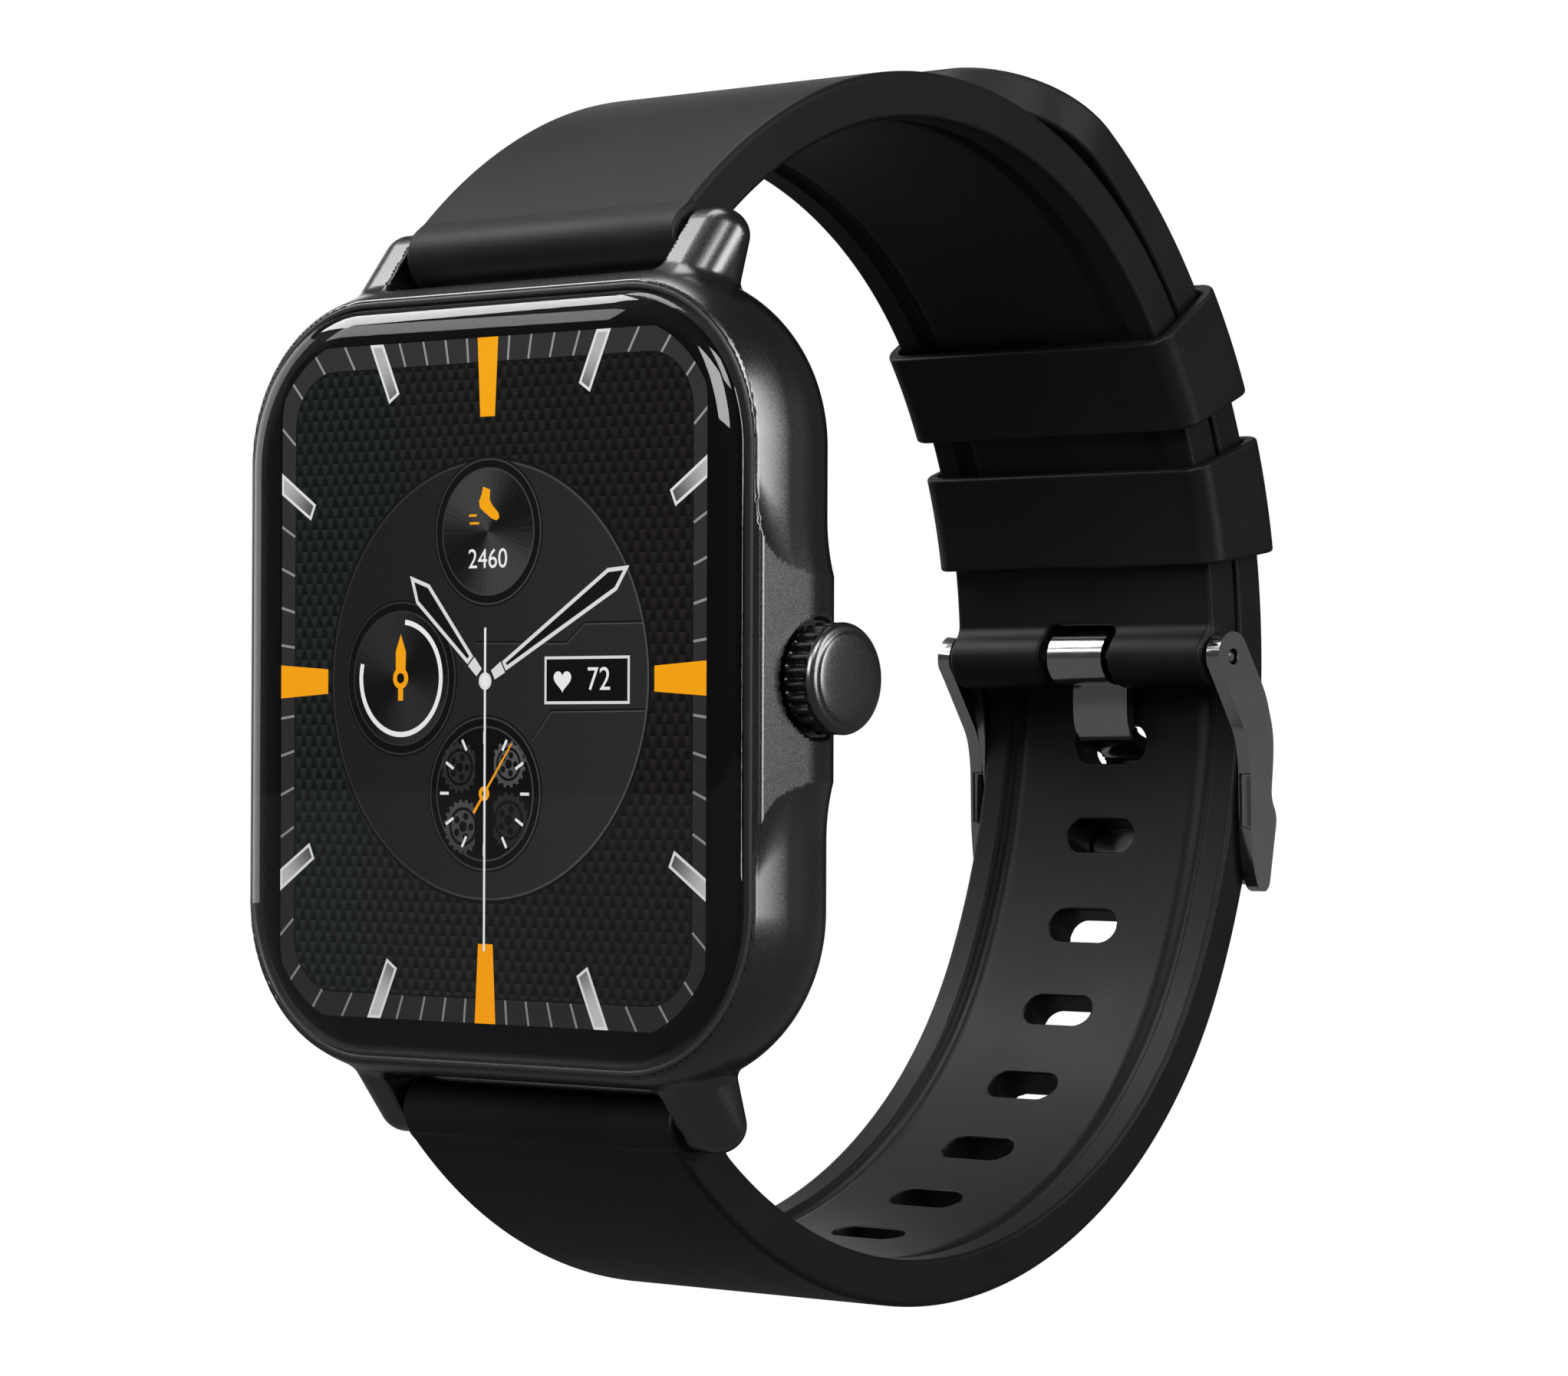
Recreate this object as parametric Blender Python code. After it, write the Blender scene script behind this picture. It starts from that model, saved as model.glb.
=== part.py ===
"""Smartwatch with a square-faced case, a push-and-turn crown and a buckled silicone strap.

Frame: +X towards the crown (3 o'clock), +Z towards 12 o'clock, -Y out of the display.
The origin is the centre of the flat sensor window on the back of the case.
Sizes below are in millimetres; meshes are built in metres.
"""
import math

import bmesh
import bpy
from mathutils import Vector

MM = 0.001

# ---------------------------------------------------------------- driving dimensions (mm)
# Case. Y runs from the front (negative) to the flat back at 0.
CASE_FRONT_Y = -9.38
CASE_WIDEST_Y = -5.9
CASE_HALF_X = 20.45
CASE_HALF_Z = 23.05
CASE_CORNER = 10.1
CASE_BACK_ROUND = 5.8
CASE_BACK_TURN = 62.0          # degrees of the back rounding before the flat back rim
GUARD_RISE = 0.5               # how far the crown guard stands out
GUARD_HALF_Z = 5.7
GUARD_FLARE = 3.3

OPENING = (20.0, 22.3, 9.65)   # front opening: half width, half height, corner radius
CAVITY = (18.7, 21.0, 8.5)
CAVITY_BACK = (17.3, 19.6, 8.0)
LEDGE_Y = -8.2
CAVITY_STEP_Y = -4.5
BACK_LEDGE_Y = -1.95
BACK_LIP = 0.65                # thickness of the ledge that carries the back cover
BACK_OPENING = (16.1, 18.75, 7.7)
BACK_THROUGH = (14.7, 17.35, 11.0)

# Front glass, its ring and the display
GLASS_RIM = (19.42, 21.75, 9.1)
GLASS_TOP_Y = -10.75
GLASS_UNDER_Y = -9.75
GLASS_RIM_Y = -9.05
DISPLAY = (17.4, 19.95, 4.6)
DISPLAY_FRONT_Y = -9.72
DISPLAY_THICK = 1.1

# Lugs and spring bars
LUG_IN_X = 11.0
LUG_OUT_X = 14.2
LUG_ROUND = 1.25
BAR_Y = -3.8
BAR_Z = 25.2
LUG_TIP_R = 1.6

# Crown
CROWN_Y = -4.5
CROWN_R = 3.12
CROWN_IN_X = 20.45
CROWN_RIM_X = 22.1
CROWN_FACE_X = 22.8
CROWN_FACE_R = 2.25
CROWN_GROOVES = 24
CROWN_RECESS_R = 3.4
CROWN_FLOOR_X = 20.0
STEM_R = 0.5

# Strap
LOOP_Y = 11.16                 # centre of the arc that the back of the strap follows
LOOP_Z = 2.64
INNER_R = 34.4                 # wrist side of the inner layer (upper strap)
INNER_THICK = 2.8
LAYER_GAP = 0.3
OUTER_THICK = 2.6
STRAP_HALF_LUG = 10.75         # half width at the lugs
STRAP_HALF_BACK = 10.3         # half width at the buckle
TAIL_HALF = 10.2               # half width of the tail
BARREL_R = 1.95
TUBE_R = 1.95
TUBE_DEG = -0.8                # place of the buckle pin on the loop arc
TUBE_LOOP_R = 35.25
TAIL_DEG = 64.0                # where the tail ends on the loop arc
HOLE_HALF_X = 2.65
HOLE_HALF_S = 1.15
HOLE_PITCH = 6.4
HOLES_DOWN = 8
HOLES_UP = 2

# Keepers: sleeves round both layers, given by their first and last angle on the loop arc
KEEPERS = {"keeper_lower": (9.0, 19.6), "keeper_upper": (23.9, 34.4)}
KEEPER_HALF_X = 11.4
KEEPER_WALL = 0.75

# Buckle
ARM_IN_X = 10.45
ARM_OUT_X = 11.4
ARM_HEAD_R = 1.6
TONGUE_HALF_X = 2.18
TONGUE_THICK = 0.7
CURL_R = 1.4

# Spring bars: tube, tips and spring
BAR_TUBE_R = 0.75
BAR_BORE_R = 0.5
TIP_R = 0.33
TIP_HEAD_R = 0.42


# ---------------------------------------------------------------- helpers
def clear_scene():
    for obj in list(bpy.data.objects):
        bpy.data.objects.remove(obj, do_unlink=True)


def material(name, color, roughness, metallic=0.0):
    mat = bpy.data.materials.get(name)
    if mat is None:
        mat = bpy.data.materials.new(name)
        mat.use_nodes = True
        shader = mat.node_tree.nodes["Principled BSDF"]
        shader.inputs["Base Color"].default_value = (*color, 1.0)
        shader.inputs["Roughness"].default_value = roughness
        shader.inputs["Metallic"].default_value = metallic
    return mat


def add_object(name, bm, mat, origin=(0.0, 0.0, 0.0), parent=None, smooth=40.0):
    """Turn a bmesh in millimetres into a named object whose origin is at origin."""
    bmesh.ops.recalc_face_normals(bm, faces=bm.faces)
    at = Vector(origin)
    for vert in bm.verts:
        vert.co = (vert.co - at) * MM
    mesh = bpy.data.meshes.new(name)
    bm.to_mesh(mesh)
    bm.free()
    mesh.materials.append(mat)
    mesh.shade_smooth()
    mesh.set_sharp_from_angle(angle=math.radians(smooth))
    obj = bpy.data.objects.new(name, mesh)
    bpy.context.scene.collection.objects.link(obj)
    obj.location = at * MM
    if parent is not None:
        obj.parent = parent
        obj.location = at * MM - parent.location
    return obj


def axis_empty(name, at):
    empty = bpy.data.objects.new(name, None)
    bpy.context.scene.collection.objects.link(empty)
    empty.location = Vector(at) * MM
    empty.empty_display_size = 3 * MM
    return empty


def combine(obj, operation, bm):
    """Add one exact Boolean to obj with the shape in bm."""
    name = obj.name + "_cutter_" + str(len(obj.modifiers) + 1)
    tool = add_object(name, bm, obj.data.materials[0])
    tool.hide_render = True
    tool.display_type = "WIRE"
    step = obj.modifiers.new(name, "BOOLEAN")
    step.operation = operation
    step.solver = "EXACT"
    step.object = tool


def cut(obj, bm):
    combine(obj, "DIFFERENCE", bm)


def join(obj, bm):
    combine(obj, "UNION", bm)


def loft(rings):
    """Closed solid through rings of equal length, each a list of (x, y, z)."""
    bm = bmesh.new()
    loops = [[bm.verts.new(point) for point in ring] for ring in rings]
    count = len(loops[0])
    for low, high in zip(loops, loops[1:]):
        for i in range(count):
            j = (i + 1) % count
            bm.faces.new((low[i], low[j], high[j], high[i]))
    bm.faces.new(loops[0][::-1])
    bm.faces.new(loops[-1])
    return bm


def sleeve(outer, inner):
    """Closed solid between an outer and an inner set of rings, open at both ends."""
    bm = bmesh.new()
    walls = [[[bm.verts.new(p) for p in ring] for ring in rings] for rings in (outer, inner)]
    count = len(walls[0][0])
    for wall in walls:
        for low, high in zip(wall, wall[1:]):
            for i in range(count):
                j = (i + 1) % count
                bm.faces.new((low[i], low[j], high[j], high[i]))
    for end in (0, -1):
        for i in range(count):
            j = (i + 1) % count
            bm.faces.new((walls[0][end][i], walls[0][end][j], walls[1][end][j], walls[1][end][i]))
    return bm


def prism_x(outline, x_low, x_high):
    """Solid from a (y, z) outline pushed along X."""
    return loft([[(x, y, z) for y, z in outline] for x in (x_low, x_high)])


def box(x_low, x_high, y_low, y_high, z_low, z_high):
    return prism_x([(y_low, z_low), (y_high, z_low), (y_high, z_high), (y_low, z_high)], x_low, x_high)


def arc(y, z, radius, start, end, count):
    """Points on an arc in the YZ plane; angles in degrees from +Y towards +Z."""
    angles = [math.radians(start + (end - start) * i / count) for i in range(count + 1)]
    return [(y + radius * math.cos(a), z + radius * math.sin(a)) for a in angles]


def rod_x(x_low, x_high, y, z, radius, sides=20):
    return prism_x(arc(y, z, radius, 0, 360, sides)[:-1], x_low, x_high)


def turned_x(profile, y, z, sides):
    """Solid turned about the X direction through (y, z); profile is (x, radius)."""
    rings = []
    for x, radius in profile:
        rings.append([(x, py, pz) for py, pz in arc(y, z, radius, 0, 360, sides)[:-1]])
    return loft(rings)


def tube_x(x_low, x_high, y, z, outer_r, inner_r, sides=20):
    rings = []
    for radius in (outer_r, inner_r):
        circle = arc(y, z, radius, 0, 360, sides)[:-1]
        rings.append([[(x, py, pz) for py, pz in circle] for x in (x_low, x_high)])
    return sleeve(*rings)


def rod_y(x, z, y_low, y_high, radius, sides=20):
    circle = arc(x, z, radius, 0, 360, sides)[:-1]
    return loft([[(px, y, pz) for px, pz in circle] for y in (y_low, y_high)])


def rounded_rect(half_x, half_z, radius, steps=6, side_steps=1):
    """(x, z) points of a rounded rectangle; side_steps divides the two long straight sides."""
    points = []
    for quarter, (sx, sz) in enumerate(((1, 1), (-1, 1), (-1, -1), (1, -1))):
        corner = (sx * (half_x - radius), sz * (half_z - radius))
        points += arc(*corner, radius, 90 * quarter, 90 * quarter + 90, steps)
        if quarter in (1, 3):
            direction = -1 if quarter == 1 else 1
            side = sx * half_x
            straight = half_z - radius
            for i in range(1, side_steps):
                points.append((side, direction * straight * (2 * i / side_steps - 1)))
    return points


def plate(size, y_low, y_high, steps=6):
    """Flat rounded-rectangle plate; size is (half width, half height, corner radius)."""
    outline = rounded_rect(*size, steps)
    return loft([[(x, y, z) for x, z in outline] for y in (y_low, y_high)])


def inset(size, amount):
    return (size[0] - amount, size[1] - amount, max(size[2] - amount, 0.4))


def smooth_step(value):
    t = min(max(value, 0.0), 1.0)
    return t * t * (3 - 2 * t)


# ---------------------------------------------------------------- case
def guard_offset(y, z):
    """How far the crown guard pushes the side of the case outwards at (y, z)."""
    depth = y - CASE_FRONT_Y
    edge = GUARD_HALF_Z + 2.5 * math.exp(-depth / 1.3)
    fade = smooth_step(depth / 1.9) * (1 - smooth_step((y + 2.6) / 1.8))
    beyond = max(abs(z) - edge, 0.0)
    across = max(1 - beyond / GUARD_FLARE, 0.0) ** 2
    return GUARD_RISE * fade * across


def case_level(y, narrower_x, narrower_z):
    half_x = CASE_HALF_X - narrower_x
    half_z = CASE_HALF_Z - narrower_z
    ring = rounded_rect(half_x, half_z, CASE_CORNER - min(narrower_x, 3.0), 8, 22)
    return [(x + (guard_offset(y, z) if x > half_x - 0.01 else 0.0), y, z) for x, z in ring]


def lug_outline(side):
    """(y, z) outline of a lug: rooted in the case, with a round tip about the spring bar."""
    tip = arc(BAR_Y + 0.15, BAR_Z - 0.1, LUG_TIP_R, 141, -8, 9)
    outline = [(-6.2, 19.5), (-8.35, 21.8), (-7.4, 23.07)] + tip + [(-1.35, 21.4), (-2.6, 19.0)]
    return [(y, side * z) for y, z in outline]


def lug(side_x, side_z):
    bm = prism_x(lug_outline(side_z), side_x * LUG_IN_X, side_x * LUG_OUT_X)
    rim = [e for e in bm.edges if all(abs(v.co.x) > LUG_OUT_X - 0.01 for v in e.verts)]
    bmesh.ops.bevel(bm, geom=rim, offset=LUG_ROUND, segments=4, profile=0.5, affect="EDGES")
    return bm


def make_case():
    levels = [case_level(CASE_FRONT_Y, 0.38, 0.68)]
    for depth, narrower_x, narrower_z in ((0.5, 0.28, 0.4), (1.3, 0.12, 0.12), (2.4, 0.02, 0.0)):
        levels.append(case_level(CASE_FRONT_Y + depth, narrower_x, narrower_z))
    for i in range(6):
        turn = math.radians(CASE_BACK_TURN * i / 5)
        shrink = CASE_BACK_ROUND * (1 - math.cos(turn))
        levels.append(case_level(CASE_WIDEST_Y + CASE_BACK_ROUND * math.sin(turn), shrink, shrink))
    metal = material("case_metal", (0.085, 0.087, 0.092), 0.34, 1.0)
    case = add_object("case_middle", loft(levels), metal)
    for side_x in (1, -1):
        for side_z in (1, -1):
            join(case, lug(side_x, side_z))
    cut(case, plate(OPENING, CASE_FRONT_Y - 1, LEDGE_Y, 8))
    cut(case, plate(CAVITY, LEDGE_Y - 0.5, CAVITY_STEP_Y))
    cut(case, plate(CAVITY_BACK, CAVITY_STEP_Y - 0.5, BACK_LEDGE_Y - BACK_LIP))
    cut(case, plate(BACK_THROUGH, BACK_LEDGE_Y - BACK_LIP - 0.5, BACK_LEDGE_Y + 0.5))
    cut(case, plate(BACK_OPENING, BACK_LEDGE_Y, 1.0))
    cut(case, rod_x(CROWN_FLOOR_X, 24, CROWN_Y, 0, CROWN_RECESS_R, 32))
    cut(case, rod_x(16.0, 21.0, CROWN_Y, 0, 1.3))
    for side_z in (1, -1):
        for side_x in (1, -1):
            ends = sorted((side_x * (LUG_IN_X - 0.5), side_x * (LUG_IN_X + 1.3)))
            cut(case, rod_x(*ends, BAR_Y, side_z * BAR_Z, 0.45, 16))
    for x, z in SCREW_SPOTS:
        cut(case, rod_y(x, z, BACK_LEDGE_Y - 0.45, BACK_LEDGE_Y + 0.5, 0.62, 12))
    return case


def make_front():
    plastic = material("bezel_plastic", (0.11, 0.11, 0.112), 0.5)
    outer = rounded_rect(OPENING[0] - 0.06, OPENING[1] - 0.06, OPENING[2] - 0.06, 8)
    lip = rounded_rect(OPENING[0] - 0.42, OPENING[1] - 0.42, OPENING[2] - 0.42, 8)
    seat = rounded_rect(17.75, 20.3, 5.0, 8)
    add_object("bezel_ring", lipped_ring(outer, seat, lip), plastic)

    glass = material("cover_glass", (0.012, 0.012, 0.014), 0.04)
    levels = []
    for step, y in ((0.0, GLASS_RIM_Y), (0.0, -9.45), (0.14, -9.8), (0.5, -10.2), (1.15, -10.52)):
        levels.append((step, y))
    levels += [(2.1, -10.7), (3.3, GLASS_TOP_Y)]
    rings = []
    for step, y in levels:
        rings.append([(x, y, z) for x, z in rounded_rect(*inset(GLASS_RIM, step), 8)])
    cover = add_object("glass_cover", loft(rings), glass)
    cut(cover, plate((17.6, 20.15, 4.8), GLASS_UNDER_Y, GLASS_RIM_Y + 1.0))

    panel = material("display_panel", (0.02, 0.02, 0.022), 0.3)
    add_object("display_panel", plate(DISPLAY, DISPLAY_FRONT_Y, DISPLAY_FRONT_Y + DISPLAY_THICK), panel)


def lipped_ring(outer, seat, lip):
    """Ring with an L section: a thin lip round the glass and a seat under it."""
    bm = bmesh.new()
    loops = []
    for outline, y in ((outer, -8.35), (outer, -9.42), (lip, -9.42), (lip, -8.9), (seat, -8.9), (seat, -8.35)):
        loops.append([bm.verts.new((x, y, z)) for x, z in outline])
    count = len(outer)
    for k, low in enumerate(loops):
        high = loops[(k + 1) % len(loops)]
        for i in range(count):
            j = (i + 1) % count
            bm.faces.new((low[i], low[j], high[j], high[i]))
    return bm


# ---------------------------------------------------------------- inside the case
SCREW_SPOTS = [(sx * 12.35, sz * 15.0) for sx in (1, -1) for sz in (1, -1)]
BOARD_SCREWS = {"board_screw_left": (-14.6, 0.0), "board_screw_right": (14.2, -12.0)}


def make_electronics():
    steel = material("steel", (0.45, 0.45, 0.46), 0.35, 1.0)
    alloy = material("frame_alloy", (0.30, 0.31, 0.32), 0.45, 1.0)
    board_green = material("circuit_board", (0.02, 0.09, 0.05), 0.5)
    chip = material("chip_black", (0.02, 0.02, 0.02), 0.4)
    flex = material("flex_film", (0.35, 0.16, 0.03), 0.4)
    pouch = material("battery_pouch", (0.35, 0.35, 0.36), 0.4)

    midframe = add_object("midframe", plate(inset(CAVITY, 0.3), -7.9, -7.1), alloy)
    cut(midframe, box(-4.6, 4.6, -8.5, -6.5, -22.0, -18.7))
    board = add_object("main_board", plate((16.0, 18.0, 7.0), -6.6, -5.9), board_green)
    for name, (x, z) in BOARD_SCREWS.items():
        for target in (board, midframe):
            cut(target, rod_y(x, z, -8.5, -5.0, 0.6, 12))
        screw = rod_y(x, z, -7.75, -5.7, 0.45, 12)
        obj = add_object(name, screw, steel, (x, -6.0, z))
        join(obj, rod_y(x, z, -5.8, -5.3, 0.95, 16))

    bend = [(-8.5, -14.0), (-8.5, -19.4), (-8.3, -19.6), (-7.0, -19.6), (-6.8, -19.4), (-6.8, -14.0)]
    back = [(y + (0.16 if y < -7.65 else -0.16), z + (0.16 if z < -19.0 else 0)) for y, z in bend]
    add_object("display_flex", prism_x(bend + back[::-1], -4.0, 4.0), flex)

    add_object("processor_chip", box(-4.2, 3.8, -5.8, -4.7, 6.5, 14.5), chip)
    add_object("power_chip", box(7.0, 12.0, -5.8, -5.0, 8.0, 13.0), chip)
    can = add_object("shield_can", box(5.6, 13.4, -5.8, -4.6, 6.6, 14.6), steel)
    cut(can, box(5.85, 13.15, -6.5, -4.85, 6.85, 14.35))
    add_object("battery", box(-13.0, 10.6, -5.6, -2.9, -16.5, 4.0), pouch)
    add_object("vibration_motor", rod_y(-9.6, 10.4, -5.7, -3.2, 3.9, 28), steel)


def make_back():
    plastic = material("back_plastic", (0.035, 0.035, 0.037), 0.4)
    rubber = material("seal_rubber", (0.03, 0.03, 0.03), 0.7)
    window_glass = material("sensor_glass", (0.02, 0.02, 0.025), 0.08)
    gold = material("gold_contact", (0.85, 0.62, 0.28), 0.3, 1.0)
    steel = material("steel", (0.45, 0.45, 0.46), 0.35, 1.0)
    board_green = material("circuit_board", (0.02, 0.09, 0.05), 0.5)
    green_led = material("led_green", (0.1, 0.6, 0.2), 0.3)
    chip = material("chip_black", (0.02, 0.02, 0.02), 0.4)

    size = inset(BACK_OPENING, 0.2)
    rings = []
    for step, y in ((0.0, -1.4), (0.0, -0.55), (0.2, -0.2), (0.6, 0.0)):
        rings.append([(x, y, z) for x, z in rounded_rect(*inset(size, step), 6)])
    cover = add_object("back_cover", loft(rings), plastic)
    cut(cover, rod_y(0, 0, -2.0, 0.5, 5.5, 32))
    add_object("sensor_window", rod_y(0, 0, -1.25, 0.0, 5.3, 32), window_glass)
    seal_out = [[(x, y, z) for x, z in rounded_rect(*inset(BACK_OPENING, 0.3), 6)] for y in (-1.85, -1.5)]
    seal_in = [[(x, y, z) for x, z in rounded_rect(*inset(BACK_OPENING, 0.8), 6)] for y in (-1.85, -1.5)]
    add_object("back_seal", sleeve(seal_out, seal_in), rubber)

    for i, (x, z) in enumerate(SCREW_SPOTS):
        cut(cover, rod_y(x, z, -2.0, 0.5, 0.62, 12))
        cut(cover, rod_y(x, z, -0.75, 0.5, 1.15, 16))
        screw = add_object("back_screw_%d" % (i + 1), rod_y(x, z, -2.3, -0.5, 0.48, 12), steel, (x, 0, z))
        join(screw, rod_y(x, z, -0.65, -0.15, 1.0, 16))
    for name, x in (("charge_contact_left", -2.4), ("charge_contact_right", 2.4)):
        cut(cover, rod_y(x, -11.5, -2.0, 0.5, 1.1, 16))
        add_object(name, rod_y(x, -11.5, -2.3, -0.05, 0.9, 16), gold, (x, 0, -11.5))

    add_object("sensor_board", rod_y(0, 0, -2.6, -2.1, 7.5, 28), board_green)
    add_object("sensor_led_left", box(-3.4, -2.2, -2.0, -1.45, -0.6, 0.6), green_led)
    add_object("sensor_led_right", box(2.2, 3.4, -2.0, -1.45, -0.6, 0.6), green_led)
    add_object("sensor_photodiode", box(-1.1, 1.1, -2.0, -1.5, -1.1, 1.1), chip)


def make_crown():
    metal = material("crown_metal", (0.10, 0.10, 0.105), 0.3, 1.0)
    steel = material("steel", (0.45, 0.45, 0.46), 0.35, 1.0)
    rubber = material("seal_rubber", (0.03, 0.03, 0.03), 0.7)
    chip = material("chip_black", (0.02, 0.02, 0.02), 0.4)
    push_axis = axis_empty("crown_axis", (CROWN_IN_X, CROWN_Y, 0))

    sides = CROWN_GROOVES * 4
    rings = []
    for x, radius, depth in ((CROWN_IN_X, 2.95, 0.1), (CROWN_IN_X + 0.25, CROWN_R, 0.24),
                             (CROWN_RIM_X, CROWN_R, 0.24), (CROWN_RIM_X + 0.3, CROWN_R - 0.14, 0.0),
                             (CROWN_FACE_X - 0.12, CROWN_FACE_R + 0.3, 0.0), (CROWN_FACE_X, CROWN_FACE_R, 0.0),
                             (CROWN_FACE_X + 0.12, 0.9, 0.0)):
        ring = []
        for i in range(sides):
            angle = 2 * math.pi * i / sides
            r = radius - (depth if i % 4 in (0, 1) else 0.0)
            ring.append((x, CROWN_Y + r * math.cos(angle), r * math.sin(angle)))
        rings.append(ring)
    knob = add_object("crown_knob", loft(rings), metal, (CROWN_IN_X, CROWN_Y, 0), push_axis)
    cut(knob, rod_x(CROWN_IN_X - 1, 21.5, CROWN_Y, 0, STEM_R + 0.12))
    add_object("crown_stem", rod_x(14.6, 21.35, CROWN_Y, 0, STEM_R), steel, (CROWN_IN_X, CROWN_Y, 0), push_axis)
    seal = tube_x(18.4, 19.0, CROWN_Y, 0, 0.78, STEM_R + 0.1)
    add_object("crown_seal", seal, rubber, (CROWN_IN_X, CROWN_Y, 0), push_axis)
    clip = tube_x(16.65, 16.95, CROWN_Y, 0, 1.1, STEM_R + 0.1)
    add_object("crown_clip", clip, steel, (CROWN_IN_X, CROWN_Y, 0), push_axis)
    add_object("crown_tube", tube_x(17.3, 19.95, CROWN_Y, 0, 1.15, 0.88), steel)

    switch = add_object("crown_switch", box(11.2, 13.6, -5.8, -3.3, -1.7, 1.7), chip)
    cut(switch, rod_x(12.2, 14.0, CROWN_Y, 0, 0.62, 12))
    add_object("crown_plunger", rod_x(12.7, 14.5, CROWN_Y, 0, 0.5, 12), steel, (12.7, CROWN_Y, 0))


# ---------------------------------------------------------------- strap
def loop_point(radius, degrees):
    a = math.radians(degrees)
    return (LOOP_Y + radius * math.cos(a), LOOP_Z + radius * math.sin(a))


def follow(start, heading, arcs, step):
    """Walk along tangent arcs (radius, degrees turned); gives (y, z, heading, length so far)."""
    y, z = start
    done = 0.0
    track = [(y, z, heading, done)]
    for radius, degrees in arcs:
        length = radius * math.radians(abs(degrees))
        count = max(1, round(length / step))
        turn = math.radians(degrees) / count
        for _ in range(count):
            chord = 2 * radius * math.sin(abs(turn) / 2)
            y += chord * math.cos(heading + turn / 2)
            z += chord * math.sin(heading + turn / 2)
            heading += turn
            done += length / count
            track.append((y, z, heading, done))
    return track


def strap_section(half, thick, scale):
    """(x, depth) points across a strap; depth 0 is the outer face, thick is the wrist face."""
    edge = 0.38 * scale
    band = 1.7 * scale
    groove = 0.28
    right = [(half - edge, 0), (half, edge), (half, thick - edge * 0.7), (half - edge * 0.7, thick),
             (half - band, thick), (half - band - 0.5 * scale, thick - groove)]
    left = [(-x, depth) for x, depth in right[::-1]]
    return right + left


def strap_body(track, inward, half_at, thick_at):
    """Sweep the strap section along a track on its outer face; inward is +1 or -1 (left or right)."""
    total = track[-1][3]
    rings = []
    for y, z, heading, done in track:
        half = half_at(done, total)
        normal = heading + inward * math.pi / 2
        ring = []
        for x, depth in strap_section(half, thick_at(done, total), half / STRAP_HALF_BACK):
            ring.append((x, y + depth * math.cos(normal), z + depth * math.sin(normal)))
        rings.append(ring)
    return loft(rings)


def upper_track():
    start = TUBE_DEG + 0.3
    first = 35.0
    outer_r = INNER_R + INNER_THICK
    heading = math.radians(90 + start)
    arcs = [(outer_r, first - start), (29.4, 79.8), (35.0, 20.9)]
    return follow(loop_point(outer_r, start), heading, arcs, 2.6)


def lower_track():
    """From the tail's tip down round the loop to the lower spring bar."""
    outer_r = INNER_R + INNER_THICK + LAYER_GAP + OUTER_THICK
    heading = math.radians(TAIL_DEG - 90)
    arcs = [(outer_r, -(TAIL_DEG - 6.8)), (48.6, -31.2), (31.6, -113.3)]
    return follow(loop_point(outer_r, TAIL_DEG), heading, arcs, 2.2)


def tube_centre():
    return loop_point(TUBE_LOOP_R, TUBE_DEG)


def make_upper_strap(silicone):
    def half_at(done, total):
        taper = smooth_step((done - 22.0) / 40.0)
        neck = 0.15 * (1 - smooth_step((done - 2.0) / 2.5))
        return STRAP_HALF_BACK + (STRAP_HALF_LUG - STRAP_HALF_BACK) * taper - neck

    def thick_at(done, total):
        return INNER_THICK + 0.7 * smooth_step((done - total + 4.0) / 4.0)

    strap = add_object("strap_upper", strap_body(upper_track(), 1, half_at, thick_at), silicone,
                       (0, BAR_Y, BAR_Z))
    join(strap, rod_x(-STRAP_HALF_LUG, STRAP_HALF_LUG, BAR_Y, BAR_Z, BARREL_R, 28))
    tube = tube_centre()
    join(strap, rod_x(0.12 - STRAP_HALF_BACK, STRAP_HALF_BACK - 0.12, *tube, TUBE_R, 28))
    cut(strap, rod_x(-12, 12, BAR_Y, BAR_Z, BAR_TUBE_R + 0.2))
    cut(strap, rod_x(-12, 12, *tube, BAR_TUBE_R + 0.2))
    cut(strap, box(-2.8, 2.8, tube[0] - 4, tube[0] + 4, tube[1] - 4, tube[1] + 2.05))


def hole_cutter(y, z, heading):
    """Stadium-shaped cutter, long across the strap, along the strap's normal."""
    radius = HOLE_HALF_S
    flat = HOLE_HALF_X - radius
    outline = arc(flat, 0, radius, -90, 90, 7) + arc(-flat, 0, radius, 90, 270, 7)
    along = Vector((0, math.cos(heading), math.sin(heading)))
    normal = Vector((0, -along.z, along.y))
    centre = Vector((0, y, z))
    rings = []
    for depth in (-3.2, 3.2):
        rings.append([centre + Vector((x, 0, 0)) + along * s + normal * depth for x, s in outline])
    return loft(rings)


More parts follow.
